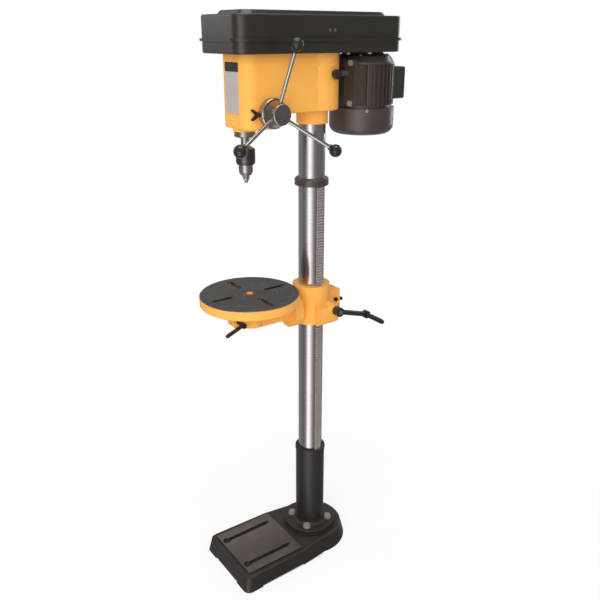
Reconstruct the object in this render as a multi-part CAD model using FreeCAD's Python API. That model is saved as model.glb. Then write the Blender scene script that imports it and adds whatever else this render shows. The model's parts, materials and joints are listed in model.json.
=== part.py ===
import math
import os

import FreeCAD, Part

# Floor-standing drill press, in millimetres. +Z is up, the operator stands at -Y,
# the feed handles are on +X, and the origin is the column's axis at floor level.

V = FreeCAD.Vector
X_AXIS = V(1, 0, 0)
Y_AXIS = V(0, 1, 0)
Z_AXIS = V(0, 0, 1)

# ---- clearances ----
running_gap = 0.05      # radial, between a shaft and the bore it turns or slides in
body_gap = 0.3          # between curved faces that move past each other
bolt_gap = 0.2          # radial, between a bolt and its clearance hole
face_gap = 0.1          # between flat faces that turn on each other
gear_slack = 0.25       # how much thinner than half the pitch each gear tooth is
pressure_angle = 20.0   # of every gear and rack, in degrees
tooth_root = 1.1        # a tooth's depth below its pitch line, in modules
tooth_tip = 0.9         # and its height above it
cut_margin = 1.0        # how far a cutting shape runs past the face it opens
round_end = 0.01        # straight part left between a slot's two round ends

# ---- column and spindle ----
column_radius = 35.5
column_wall = 4.0
column_top = 1402.0
motor_y = 165.0
spindle_y = -202.5      # swing is twice the distance from here to the column's surface

# ---- base casting ----
base_height = 45.0
base_front = -312.0
base_half_width = 122.0
base_waist_y = -105.0
base_waist_half_width = 118.0
base_rear_radius = 110.0
base_rear_start = -10.0     # degrees round the column where the round rear begins
base_corner = 20.0
base_draft = 8.0            # how far the walls lean in from floor to top
base_rear_draft = 12.0      # the same at the round rear
base_wall = 9.0
base_top_thickness = 9.0
base_edge_fillet = 4.0
foot_lift = 4.5             # how high the skirt clears the floor between the feet
front_foot_length = 56.0
front_foot_width = 60.0
pad_height = 4.4
pad_corner = 3.0
pad_half_width = base_half_width - 25.0
pad_front = base_front + 24.0
pad_rear = -99.0
keyhole_x = 61.5
keyhole_front = pad_front + 16.0
keyhole_rear = pad_rear - 19.0
keyhole_width = 13.0
keyhole_radius = 11.5
rib_thickness = 6.0

# ---- column support ----
support_radius = 43.75
support_top = 330.0
support_lip = 12.0
support_lip_extra = 1.5
flange_radius = 80.0
flange_thickness = 11.0
flange_fillet = 12.0
spot_face_gap = 0.6         # between a washer's edge and the spot face that it sits in
seat_radius = 84.0
support_bolt_circle = 57.5
support_bolt_radius = 6.0
support_bolt_flats = 18.0
support_bolt_head = 7.5
support_washer_radius = 11.5
support_washer_thickness = 2.0
support_bolt_depth = 25.0
bolt_boss_radius = 14.0
bolt_boss_floor = 3.0       # metal under a bolt hole's end
flange_edge = 2.0

# ---- rack and collar ----
rack_back = column_radius + body_gap
rack_thickness = 7.0
rack_half_width = 9.0
rack_module = 2.5
rack_top_engagement = 7.0
rack_end_margin = 5.0       # plain rack past its first and last tooth
collar_radius = 45.5
collar_bottom = column_top - 263.0
collar_height = 20.0
collar_groove_depth = 8.0
collar_chamfer = 3.5
collar_low_chamfer = 1.0
collar_screw_radius = 3.0
collar_screw_drop = 6.5     # from the collar's top to its set screw's axis
collar_screw_stand = 1.5    # how far its set screw stands out
screw_socket_depth = 3.0

# ---- table bracket and its lifting gear ----
tilt_height = 796.0
bracket_bottom = tilt_height - 44.0
bracket_top = tilt_height + 66.0
bracket_radius = 52.0
tilt_face_y = -70.0
tilt_disc_radius = 48.0
tilt_disc_thickness = 13.0
neck_half_width = 26.0
neck_half_height = 32.0
clamp_slot = 4.0
bracket_ear_end = 90.0
bracket_ear_half_width = 19.0
bracket_ear_half_height = 32.0
bracket_clamp_y = 73.0
clamp_z = tilt_height + 4.0
clamp_screw_radius = 6.0
pinion_teeth = 12
pinion_half_width = 10.0
pinion_shaft_radius = 6.0
wheel_teeth = 16
wheel_module = 2.0
wheel_half_width = 6.0
wheel_y = 24.0
worm_z = tilt_height + 2.0
worm_pitch_radius = 8.0
worm_tip_radius = 9.6
worm_core_radius = 5.4
worm_half_length = 13.0
worm_tail_length = 6.0
worm_waist_half_length = 6.0
crank_shaft_radius = 7.0
gearbox_front_y = -21.0
gearbox_rear_y = 40.0
gearbox_wall = 2.6
gearbox_top = worm_z + 8.0
gearbox_fillet = 6.0
worm_case_radius = 15.5
worm_case_end = 84.0
ear_fillet = 8.0
chamber_gap = 1.2
shaft_end_cover = 2.0       # metal over each end of the pinion's shaft

# ---- crank ----
crank_inner_x = 86.0
crank_hub_length = 20.0
crank_hub_radius = 13.0
crank_rear_reach = 98.0
crank_drop = 30.0
crank_arm_radius = 7.2
crank_eye_radius = 11.0
crank_eye_length = 15.0
crank_pin_radius = 4.0
crank_grip_radius = 7.0
crank_grip_length = 62.0
crank_grip_taper = 1.2
crank_grip_taper_length = 4.0
crank_cap_extra = 1.5
crank_cap_gap = 1.0
crank_cap_thickness = 2.0

# ---- table arm and table ----
arm_disc_thickness = 14.0
arm_half_width = 24.0
arm_bottom = tilt_height - 18.0
arm_top = tilt_height + 36.0
arm_wall = 8.0
post_boss_radius = 33.0
post_boss_bottom = arm_bottom + 6.0
post_radius = 20.0
post_bottom = arm_bottom + 8.0
table_radius = 132.0
table_top = tilt_height + 76.0
table_rim_bottom = table_top - 26.0
table_rim_wall = 10.0
table_plate = 11.0
table_hub_radius = 42.0
table_hole_radius = 10.0
table_slot_inner = 46.0
table_slot_outer = 112.0
table_slot_width = 13.0
table_rib_thickness = 7.0
table_rib_lift = 3.0        # of the ribs above the rim's underside
table_edge = 1.5
table_low_edge = 2.0
arm_ear_front = spindle_y - 59.5
arm_ear_half_width = 17.0
arm_ear_bottom = tilt_height - 6.0
arm_ear_top = tilt_height + 26.0
arm_clamp_y = spindle_y - 47.5
arm_clamp_z = tilt_height + 10.0
arm_clamp_radius = 5.0
arm_ear_fillet = 6.0
arm_hollow_gap = 4.0        # between the post's boss and the arm's hollow
tilt_bolt_radius = 8.0
tilt_bolt_flats = 24.0
tilt_bolt_head = 10.0
tilt_bolt_reach = 30.0

# ---- clamp levers ----
lever_screw_end = 6.0       # how far a clamp screw passes the ear it crosses
table_lever_stand = 33.0
table_lever_hub_length = 15.0
table_lever_hub_radius = 7.5
table_lever_reach = 47.0
table_lever_drop = 19.0
table_lever_bar_radius = 5.2
column_lever_hub_length = 26.0
column_lever_hub_radius = 9.0
column_lever_reach = 66.0
column_lever_drop = 30.0
column_lever_bar_radius = 5.5

# ---- head casting ----
head_top = column_top + 68.0
head_bottom = head_top - 137.0
head_half_width = 61.0
head_front = spindle_y - 31.5
head_corner = 31.0
head_rear_radius = 67.0
head_wall = 7.0
head_top_wall = 9.0
head_edge_fillet = 5.0
nose_bottom = head_bottom - 33.0
nose_rear = spindle_y + 62.5
quill_boss_bottom = nose_bottom - 6.0
quill_boss_radius = 29.0
quill_guide_radius = 34.0
quill_guide_top = head_bottom + 67.0
column_boss_bottom = head_bottom - 34.0
column_boss_radius = 41.0
column_socket_radius = 44.0
column_socket_roof = 4.0    # metal over the column's end
column_end_gap = 0.2
head_screw_y = -12.0
head_screw_z = head_bottom + 59.0
head_screw_radius = 5.0
head_screw_stand = 4.5
idler_boss_wall = 6.0
roof_rib_half_width = 4.0
roof_rib_front = 30.0       # from the spindle's axis
roof_rib_rear = 40.0

# ---- quill, spindle and bearings ----
quill_radius = 26.0
quill_bottom = quill_boss_bottom - 14.0
quill_top = quill_bottom + 147.0
quill_bore_radius = 16.5
quill_travel = 80.0
quill_bearing_height = 15.0
quill_bearing_radius = 20.0
quill_chamfer = 1.5
quill_rack_half_width = 15.0
quill_root = 1.2            # the rack's depth below its pitch line, in modules
spindle_radius = 10.0
spindle_shoulder_radius = 14.0
spindle_nose_radius = 10.6
spindle_shoulder_height = 3.0
spindle_spline_bottom = quill_top + 3.0
spindle_top = spindle_spline_bottom + 110.0
spline_count = 6
spline_minor_radius = 7.5
spline_major_radius = 9.3
spline_width = 3.6
sleeve_radius = 12.5
sleeve_bottom = head_top - 38.0
sleeve_top = head_top + 76.0
sleeve_collar_extra = 2.0
sleeve_collar_seat = 4.0
sleeve_nut_flats = 34.0
sleeve_nut_height = 7.0
sleeve_relief_depth = 3.0
pulley_bearing_radius = 26.0
pulley_bearing_bottom = sleeve_bottom + 4.0
pulley_bearing_height = 14.0
pulley_bearing_lip = 4.0
bearing_shield_inset = 1.0
bearing_boss_radius = 34.0

# ---- chuck ----
chuck_top = quill_bottom - 24.0
chuck_nose_top = chuck_top - 43.0
chuck_nose_bottom = chuck_nose_top - 26.0
chuck_nose_radius = 17.5
chuck_core_radius = 19.6
chuck_sleeve_radius = 24.0
chuck_teeth = 24
chuck_nut_bottom = chuck_nose_top + 10.0       # the room for the jaws' threads inside the sleeve
chuck_nut_top = chuck_nut_bottom + 15.0
chuck_nut_radius = 21.6
chuck_taper_top_radius = 9.2
chuck_taper_bottom_radius = 8.3
chuck_taper_depth = 24.0
chuck_nose_step = 4.0
chuck_nose_taper = 7.0
chuck_top_step = 4.0
chuck_throat_radius = 6.5
chuck_sleeve_low_step = 2.5
chuck_sleeve_low_taper = 5.0
chuck_sleeve_top_step = 2.0
chuck_sleeve_top_taper = 3.0
gullet_radius = 1.2
gullet_length = 6.0
gullet_rise = 3.5
jaw_tip_z = chuck_nose_bottom - 20.0
jaw_count = 3
jaw_top_z = jaw_tip_z + 35.0
jaw_radius = 3.5
jaw_tilt = 12.0             # degrees between a jaw's slide and the spindle
jaw_tip_offset = 3.4        # from the spindle's axis to a jaw's own axis, at the tip
jaw_flat = 0.7              # from the spindle's axis to a jaw's gripping face, when closed
jaw_bore_length = 74.0
jaw_wedge_reach = 40.0
jaw_wedge_spread = 67.5     # half the wedge's width at that reach
jaw_point_radius = 3.2
jaw_point_wide_radius = 9.5
jaw_point_height = 13.0
key_hole_radius = 3.0
key_hole_z = chuck_nose_bottom + 19.0
key_hole_inset = 5.0
key_hole_depth = 8.0

# ---- feed gear ----
feed_z = head_bottom + 5.0
feed_module = 1.5
feed_teeth = 16
feed_pitch_depth = 24.5     # from the spindle's axis to the quill rack's pitch line
feed_rack_bottom = feed_z - 24.0
feed_pinion_half_width = 12.0
feed_journal_start = 15.5
feed_shaft_radius = 9.0
feed_journal_radius = 14.4
feed_boss_radius = 21.0
feed_relief = 1.5           # past the pinion's end
ring_inner_x = head_half_width + 1.5
ring_outer_x = ring_inner_x + 17.5
ring_radius = 35.5
hub_gap = 0.3
hub_front_x = ring_outer_x + 32.0
hub_back_radius = 31.0
hub_front_radius = 24.5
hub_back_rim = 4.0
hub_front_length = 8.0
hub_edge = 1.5
hub_cap_thickness = 6.0
rod_count = 3
rod_radius = 4.75
rod_start_x = hub_front_x - 17.0
rod_start_radius = 16.0
ball_x = hub_front_x + 38.0
ball_circle = 154.0
ball_radius = 15.5
ball_collar_extra = 2.5
ball_collar_reach = 3.0
ball_first_angle = 85.2     # degrees from +Y towards +Z
depth_screw_x = ring_inner_x + 11.5
depth_screw_radius = 3.0
wing_half_span = 14.0
wing_half_thickness = 3.5
wing_reach = 27.0
wing_edge = 2.0
wing_step = 4.0
wing_corner = 3.0
wing_boss_radius = 6.0
wing_boss_length = 10.0
wing_boss_stand = 5.0       # from the depth ring to the boss
spring_housing_radius = 30.0
spring_housing_depth = 24.0
spring_housing_wall = 2.5
spring_strip = 1.2
spring_turns = 5
spring_start_radius = 11.0
spring_width = 14.0
spring_clear = 4.0          # between the head and the spring
spring_housing_fillet = 3.0
spring_nut_flats = 10.0
spring_nut_height = 5.0

# ---- belt guard ----
guard_half_width = 95.0
guard_front = spindle_y - 66.5
guard_rear = motor_y + 55.0
guard_corner = 30.0
guard_wall = 2.5
guard_floor = 3.0
guard_seam = head_top + 30.0
guard_lip = 6.0
guard_lip_height = 3.0
lid_side_top = guard_seam + 55.0
lid_top = lid_side_top + 9.0
lid_step = 27.0
lid_crown_lean = 7.0
lid_crown_corner = 26.0
lid_crown_fillet = 3.0
lid_edge_fillet = 5.0
hinge_pin_radius = 2.0
hinge_knuckle_radius = 4.5
hinge_offset = 12.5         # from the guard's side to the hinge line
hinge_leaf_length = 16.0
hinge_places = (-150.0, 100.0)
pan_bolt_x = 60.0
pan_bolt_rear_places = (motor_y - 99.0, motor_y - 31.0)
pan_bolt_front_places = (spindle_y - 9.5, 16.0)
pan_bolt_front_x = 46.0
pan_bolt_radius = 3.0
pan_bolt_head_radius = 6.5
pan_bolt_head = 3.5
pan_nut_flats = 10.0
pan_nut_height = 4.5
shaft_slot_gap = 3.0

# ---- pulleys and belts ----
pulley_bottom = head_top + 16.0
pulley_step = 15.0
spindle_steps = (58.0, 50.0, 42.0, 34.0)
idler_steps = (34.0, 42.0, 50.0, 58.0)
motor_steps = (50.0, 42.0, 34.0, 26.0)
groove_depth = 8.0
groove_half_width = 5.5
groove_half_bottom = 3.0
belt_half_height = 3.0
belt_thickness = 6.0
belt_inset = 0.8
front_belt_level = 0
rear_belt_level = 1
idler_y = -20.0
idler_pivot_x = 42.0
idler_pivot_y = -56.0
idler_post_radius = 8.0
idler_pin_radius = 7.5
idler_arm_bottom = head_top + 4.5
idler_arm_thickness = 8.0
idler_arm_radius = 15.0
idler_post_lift = 4.0
idler_washer_extra = 4.0
idler_washer_top = 2.0      # above the pulley

# ---- motor ----
motor_travel = 12.0
motor_core_radius = 76.0
motor_fin_radius = 84.0
motor_bore_radius = 68.0
motor_fin_count = 36
motor_fin_thickness = 3.0
motor_body_top = head_top - 30.0
motor_bottom = motor_body_top - 108.0
motor_end_plate = 8.0
motor_fin_lift = 6.0
saddle_lift = 8.0
saddle_depth = 36.0         # from the motor's axis to the saddle's rear
bell_radius = 82.0
bell_crown_radius = 72.0
bell_crown_drop = 9.0       # of the crown's edge below the bell's top
bell_dome_radius = 54.0
bell_dome_drop = 2.5
bell_top = head_top - 1.5
bell_rim = 5.0
fan_cover_radius = 87.0
fan_cover_top = motor_bottom - 0.5
fan_cover_bottom = fan_cover_top - 69.5
fan_cover_wall = 2.0
fan_cover_round = 25.0
fan_slot_rings = (30.0, 46.0)
fan_slot_count = 12
fan_slot_half_length = 5.0
fan_slot_half_width = 2.5
fan_cover_rim = 3.0
fan_cover_rim_width = 4.0
fan_radius = 62.0
fan_bottom = fan_cover_bottom + 18.0
fan_height = 30.0
fan_blades = 8
fan_hub_radius = 18.0
fan_disc_thickness = 3.0
fan_blade_start = 10.0
rotor_radius = 40.0
rotor_bottom = motor_bottom + 30.0
rotor_top = motor_body_top - 10.0
motor_shaft_radius = 9.5
motor_shaft_bottom = fan_cover_bottom + 14.0
motor_shaft_stand = 4.0     # above the pulley
plate_front_y = motor_y - 85.0
plate_thickness = 6.0
plate_half_width = 72.0
plate_corner = 8.0
plate_rib_x = 36.0
plate_rib_width = 8.0
plate_rib_depth = 7.0
plate_rib_inset = 3.0
plate_bottom = motor_bottom + 8.0
plate_top = motor_body_top + 15.0
saddle_half_width = 68.0
motor_bolt_x = 56.0
motor_bolt_rows = (plate_bottom + 7.0, plate_top - 10.0)
motor_bolt_radius = 4.0
motor_bolt_flats = 13.0
motor_bolt_head = 5.5
motor_bolt_length = 12.0
slide_bar_x = 42.0
slide_bar_z = head_top - 50.0
slide_bar_radius = 7.0
slide_bar_front = -14.0
slide_boss_radius = 12.0
slide_boss_front = -20.0
slide_boss_rear = 40.0
knob_y = 20.5
knob_screw_radius = 4.0
knob_radius = 12.0
knob_length = 15.0
knob_fillet = 2.5
knob_flutes = 6
knob_flute_radius = 3.0
knob_flute_offset = 1.2
knob_screw_overlap = 4.0
box_half_width = 33.0
box_rear = motor_y + 126.0
box_bottom = motor_bottom + 16.0
box_top = motor_body_top - 9.0
box_front = motor_y + 71.0
box_fillet = 5.0
box_wall = 4.0
box_seat_y = motor_y + 88.0          # how far back the motor's own seat for the box reaches
box_lid_depth = 14.0
gland_y = motor_y + 97.0
gland_z = box_bottom + 24.0
gland_radius = 9.0
gland_length = 18.0
gland_hole_radius = 4.0
gland_nut_height = 5.0
gland_nose_wall = 2.5
gland_nose_taper = 7.0
gland_neck_inset = 2.0
gland_neck_length = 6.0
gland_neck_start = 4.0

# ---- switch ----
switch_front = spindle_y + 10.5
switch_rear = switch_front + 68.0
switch_bottom = head_bottom + 43.0
switch_top = head_bottom + 119.0
switch_depth = 34.0
switch_wall = 3.0
button_radius = 9.5
button_stand = 5.0
button_length = 16.0
button_edge = 1.5
switch_fillet = 4.0
start_button_z = switch_top - 22.0
stop_button_z = switch_bottom + 22.0

# ---- worked out from the sizes above ----
base_top = base_height + pad_height
flange_top = base_top + flange_thickness
rack_bottom = support_top + face_gap
rack_top = collar_bottom + rack_top_engagement
rack_tip = rack_back + rack_thickness
table_boss_top = table_rim_bottom - body_gap
rack_pitch_line = rack_tip - tooth_tip * rack_module
pinion_pitch_radius = rack_module * pinion_teeth / 2
pinion_x = rack_pitch_line + pinion_pitch_radius
wheel_pitch_radius = wheel_module * wheel_teeth / 2
pinion_z = worm_z - wheel_pitch_radius - worm_pitch_radius
gear_case_radius = wheel_pitch_radius + tooth_tip * wheel_module + chamber_gap + gearbox_wall
feed_pitch_radius = feed_module * feed_teeth / 2
feed_y = spindle_y + feed_pitch_depth + feed_pitch_radius
lid_bottom = guard_seam + body_gap
hinge_x = -(guard_half_width + hinge_offset)
hinge_z = guard_seam + body_gap / 2
pulley_top = pulley_bottom + pulley_step * len(spindle_steps)


def vertical(radius, low, high, x=0.0, y=0.0):
    return Part.makeCylinder(radius, high - low, V(x, y, low), Z_AXIS)


def along_x(radius, low, high, y, z):
    return Part.makeCylinder(radius, high - low, V(low, y, z), X_AXIS)


def along_y(radius, low, high, x, z):
    return Part.makeCylinder(radius, high - low, V(x, low, z), Y_AXIS)


def between(start, end, radius):
    return Part.makeCylinder(radius, (end - start).Length, start, end - start)


def block(x, y, z):
    """A box from three (low, high) pairs."""
    corner = V(x[0], y[0], z[0])
    return Part.makeBox(x[1] - x[0], y[1] - y[0], z[1] - z[0], corner)


def prism(points, direction):
    """A closed polygon of vectors, extruded."""
    return Part.Face(Part.makePolygon(points + [points[0]])).extrude(direction)


def turned(profile, centre, axis=Z_AXIS):
    """A closed (radius, distance along the axis) outline turned about the axis."""
    side = X_AXIS if abs(axis.x) < 0.5 else Y_AXIS
    points = [centre + side * radius + axis * along for radius, along in profile]
    return Part.Face(Part.makePolygon(points + [points[0]])).revolve(centre, axis, 360)


def hexagon(flats, centre, axis, length):
    """A hexagonal bar standing on centre along axis."""
    side = X_AXIS if abs(axis.x) < 0.5 else Y_AXIS
    radius = flats / math.sqrt(3)
    corners = []
    for corner in range(6):
        turn = FreeCAD.Rotation(axis, 60 * corner)
        corners.append(centre + turn.multVec(side) * radius)
    return prism(corners, axis * length)


def joined(*shapes):
    return shapes[0].multiFuse(list(shapes[1:])).removeSplitter()


def less(shape, *tools):
    for tool in tools:
        shape = shape.cut(tool)
    return shape


def rounded_outline(x, y, corner, z):
    """A rectangle with round corners, as a wire at height z."""
    (x0, x1), (y0, y1) = x, y
    edges = []
    centres = ((x1 - corner, y0 + corner, -90), (x1 - corner, y1 - corner, 0),
               (x0 + corner, y1 - corner, 90), (x0 + corner, y0 + corner, 180))
    last = None
    for cx, cy, start in centres:
        arc_points = []
        for angle in (start, start + 45, start + 90):
            turn = math.radians(angle)
            arc_points.append(V(cx + corner * math.cos(turn), cy + corner * math.sin(turn), z))
        if last is not None:
            edges.append(Part.makeLine(last, arc_points[0]))
        edges.append(Part.Arc(*arc_points).toShape())
        last = arc_points[2]
    edges.append(Part.makeLine(last, edges[0].Vertexes[0].Point))
    return Part.Wire(edges)


def rounded_block(x, y, z, corner):
    return Part.Face(rounded_outline(x, y, corner, z[0])).extrude(V(0, 0, z[1] - z[0]))


def edges_at(shape, test):
    """The edges whose whole bounding box passes test."""
    return [edge for edge in shape.Edges if test(edge.BoundBox)]


def level_edges(shape, z):
    return edges_at(shape, lambda box: abs(box.ZMin - z) < 1e-3 and abs(box.ZMax - z) < 1e-3)


def bolt(head_at, axis, flats, head, radius, length):
    """A hexagon bolt. head_at is under the head and axis points out of the head."""
    shank = Part.makeCylinder(radius, length, head_at - axis * length, axis)
    return joined(hexagon(flats, head_at, axis, head), shank)


def gear_angles(module, teeth, slack):
    """A tooth's half angle at a few radii, on an involute flank of 20 degrees."""
    pitch = module * teeth / 2
    base = pitch * math.cos(math.radians(pressure_angle))
    root = pitch - tooth_root * module
    tip = pitch + tooth_tip * module
    half = math.pi / 2 / teeth - slack / 2 / pitch

    def involute(radius):
        return math.sqrt(max(0.0, (radius / base) ** 2 - 1)) - math.acos(min(1.0, base / radius))

    radii = [root, pitch, (pitch + tip) / 2, tip]
    return [(radius, half + involute(pitch) - involute(radius)) for radius in radii]


def gear_points(module, teeth, slack, first_gap):
    """A spur gear's outline as (u, v) pairs, with a gap at the angle first_gap."""
    flank = gear_angles(module, teeth, slack)
    points = []
    for tooth in range(teeth):
        middle = first_gap + math.pi * (2 * tooth + 1) / teeth
        rising = [(radius, middle - half) for radius, half in flank]
        falling = [(radius, middle + half) for radius, half in reversed(flank)]
        for radius, angle in rising + falling:
            points.append((radius * math.cos(angle), radius * math.sin(angle)))
    return points


def rack_half_thickness(module, slack, height):
    """Half a rack tooth's thickness at a height above its pitch line."""
    return module * math.pi / 4 - slack / 2 - height * math.tan(math.radians(pressure_angle))


# ================= base and column =================

def base_outline(inset, rear_inset, z):
    """The base's plan: straight front, slight waist, and a round rear about the column."""
    half = base_half_width - inset
    front = base_front + inset
    corner = base_corner
    waist = base_waist_half_width - inset
    rear = base_rear_radius - rear_inset
    start = math.radians(base_rear_start)
    right = V(rear * math.cos(start), rear * math.sin(start), z)
    left = V(-right.x, right.y, z)
    bend = corner * (1 - math.sqrt(0.5))
    return Part.Wire([
        Part.makeLine(V(-half + corner, front, z), V(half - corner, front, z)),
        Part.Arc(V(half - corner, front, z), V(half - bend, front + bend, z),
                 V(half, front + corner, z)).toShape(),
        Part.makeLine(V(half, front + corner, z), V(waist, base_waist_y, z)),
        Part.makeLine(V(waist, base_waist_y, z), right),
        Part.Arc(right, V(0, rear, z), left).toShape(),
        Part.makeLine(left, V(-waist, base_waist_y, z)),
        Part.makeLine(V(-waist, base_waist_y, z), V(-half, front + corner, z)),
        Part.Arc(V(-half, front + corner, z), V(-half + bend, front + bend, z),
                 V(-half + corner, front, z)).toShape()])


def base_body(wall, top):
    """The base's leaning sides, set in by a wall, from the floor up to top."""
    share = top / base_height
    return Part.makeLoft([
        base_outline(wall, wall, 0),
        base_outline(wall + base_draft * share, wall + base_rear_draft * share, top)],
        True, True)


def keyhole(x):
    """A slot that runs back from a round entry, cut right through the base's top."""
    low = base_height - base_top_thickness - 1
    high = base_top + 1
    half = keyhole_width / 2
    rear_end = keyhole_rear - half
    return joined(
        block((x - half, x + half), (keyhole_front, rear_end), (low, high)),
        vertical(half, low, high, x, rear_end),
        vertical(keyhole_radius, low, high, x, keyhole_front))


def support_bolt_places():
    places = []
    for quarter in range(4):
        turn = math.radians(45 + 90 * quarter)
        places.append((support_bolt_circle * math.cos(turn), support_bolt_circle * math.sin(turn)))
    return places


def base_casting():
    ceiling = base_height - base_top_thickness
    outer = base_body(0, base_height)
    outer = outer.makeFillet(base_edge_fillet, level_edges(outer, base_height))
    hollow = base_body(base_wall, ceiling)
    rib_limit = base_body(base_wall / 2, ceiling + 1)
    shell = outer.cut(hollow)
    half = rib_thickness / 2
    long_rib = block((-half, half), (base_front, -bolt_boss_radius), (foot_lift, ceiling + 1))
    cross_rib = block((-base_half_width, base_half_width),
                      (base_waist_y - half, base_waist_y + half), (foot_lift, ceiling + 1))
    pad = rounded_block((-pad_half_width, pad_half_width), (pad_front, pad_rear),
                        (base_height - 1, base_top), pad_corner)
    seat = vertical(seat_radius, base_height - 1, base_top)
    boss_bottom = base_top - support_bolt_depth - bolt_boss_floor
    bosses = [vertical(bolt_boss_radius, boss_bottom, base_height, x, y)
              for x, y in support_bolt_places()]
    casting = joined(shell, long_rib.common(rib_limit), cross_rib.common(rib_limit), pad, seat,
                     *bosses)
    inner_half = base_half_width - front_foot_width
    foot_rear = base_front + front_foot_length
    under_front = block((-inner_half, inner_half), (base_front - 1, base_waist_y), (-1, foot_lift))
    under_sides = block((-base_half_width - 1, base_half_width + 1), (foot_rear, base_waist_y),
                        (-1, foot_lift))
    holes = [vertical(support_bolt_radius + running_gap, base_top - support_bolt_depth,
                      base_top + 1, x, y) for x, y in support_bolt_places()]
    return less(casting, under_front, under_sides, keyhole(keyhole_x), keyhole(-keyhole_x), *holes)


def column_support():
    flange = vertical(flange_radius, base_top, flange_top)
    post = vertical(support_radius, base_top, support_top)
    lip = vertical(support_radius + support_lip_extra, support_top - support_lip, support_top)
    body = joined(flange, post)
    body = body.makeFillet(flange_fillet, edges_at(body, lambda box: (
        abs(box.ZMin - flange_top) < 1e-3 and abs(box.ZMax - flange_top) < 1e-3
        and box.XMax < support_radius + 1)))
    body = joined(body, lip)
    body = body.makeFillet(flange_edge, edges_at(body, lambda box: (
        abs(box.ZMin - flange_top) < 1e-3 and abs(box.ZMax - flange_top) < 1e-3
        and box.XMax > flange_radius - 1)))
    bore = vertical(column_radius + running_gap, base_top - 1, support_top + 1)
    holes = []
    for x, y in support_bolt_places():
        holes.append(vertical(support_bolt_radius + bolt_gap, base_top - 1, flange_top + 1, x, y))
        holes.append(vertical(support_washer_radius + spot_face_gap, flange_top,
                              flange_top + flange_fillet, x, y))
    return less(body, bore, *holes)


def support_bolts():
    bolts = []
    for x, y in support_bolt_places():
        washer = vertical(support_washer_radius, flange_top,
                          flange_top + support_washer_thickness, x, y)
        under_head = V(x, y, flange_top + support_washer_thickness)
        screw = bolt(under_head, Z_AXIS, support_bolt_flats, support_bolt_head,
                     support_bolt_radius, flange_thickness + support_washer_thickness
                     + support_bolt_depth - 1)
        bolts.append(joined(washer, screw))
    return Part.makeCompound(bolts)


def column_tube():
    outer = vertical(column_radius, base_top, column_top)
    return outer.cut(vertical(column_radius - column_wall, base_top - 1, column_top + 1))


def rack_collar():
    high = collar_bottom + collar_height
    ring = vertical(collar_radius, collar_bottom, high)
    ring = ring.makeChamfer(collar_chamfer, level_edges(ring, high))
    ring = ring.makeChamfer(collar_low_chamfer, level_edges(ring, collar_bottom))
    bore = vertical(column_radius + running_gap, collar_bottom - 1, high + 1)
    groove = vertical(math.hypot(rack_tip, rack_half_width) + body_gap, collar_bottom - 1,
                      collar_bottom + collar_groove_depth)
    screw_hole = along_x(collar_screw_radius + running_gap, -collar_radius - 1, -column_radius,
                         0, high - collar_screw_drop)
    return less(ring, bore, groove, screw_hole)


def set_screws():
    """Socket set screws, on -X, that lock the collar and the head on the column."""
    collar_z = collar_bottom + collar_height - collar_screw_drop
    screws = []
    places = ((collar_screw_radius, 0.0, collar_z, collar_radius + collar_screw_stand),
              (head_screw_radius, head_screw_y, head_screw_z, 
               head_half_width + head_screw_stand))
    for radius, y, z, outer in places:
        nearest = max(0.0, abs(y) - radius)
        tip = math.sqrt(column_radius ** 2 - nearest ** 2) + face_gap
        screw = along_x(radius, -outer, -tip, y, z)
        mouth = V(-outer + screw_socket_depth, y, z)
        socket = hexagon(radius, mouth, -X_AXIS, screw_socket_depth + cut_margin)
        screws.append(screw.cut(socket))
    return Part.makeCompound(screws)


# ================= table lift =================

def table_rack():
    pitch = math.pi * rack_module
    tip = rack_tip - rack_pitch_line
    root = -tooth_root * rack_module
    half_tip = rack_half_thickness(rack_module, gear_slack, tip)
    half_root = rack_half_thickness(rack_module, gear_slack, root)
    first = math.ceil((rack_bottom + rack_end_margin - pinion_z) / pitch)
    last = math.floor((rack_top - rack_end_margin - pinion_z) / pitch)
    y = -rack_half_width
    points = [V(rack_back, y, rack_bottom), V(rack_pitch_line + root, y, rack_bottom)]
    for tooth in range(first, last + 1):
        z = pinion_z + tooth * pitch
        points += [V(rack_pitch_line + root, y, z - half_root),
                   V(rack_tip, y, z - half_tip),
                   V(rack_tip, y, z + half_tip),
                   V(rack_pitch_line + root, y, z + half_root)]
    points += [V(rack_pitch_line + root, y, rack_top), V(rack_back, y, rack_top)]
    return prism(points, V(0, 2 * rack_half_width, 0))


def gear_prism_y(points, x, y_low, z, width):
    """A gear outline given as (u, v) = (x, z) pairs, extruded along Y."""
    return prism([V(x + u, y_low, z + v) for u, v in points], V(0, width, 0))


def pinion_shaft():
    pinion = gear_prism_y(gear_points(rack_module, pinion_teeth, gear_slack, math.pi),
                          pinion_x, -pinion_half_width, pinion_z, 2 * pinion_half_width)
    wheel = gear_prism_y(gear_points(wheel_module, wheel_teeth, gear_slack, math.pi / 2),
                         pinion_x, wheel_y - wheel_half_width, pinion_z, 2 * wheel_half_width)
    shaft = along_y(pinion_shaft_radius, gearbox_front_y + shaft_end_cover,
                    gearbox_rear_y - shaft_end_cover, pinion_x, pinion_z)
    return joined(shaft, pinion, wheel)


def worm_places():
    """The worm's ends along X, centred over the worm wheel."""
    return pinion_x - worm_half_length, pinion_x + worm_half_length


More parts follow.
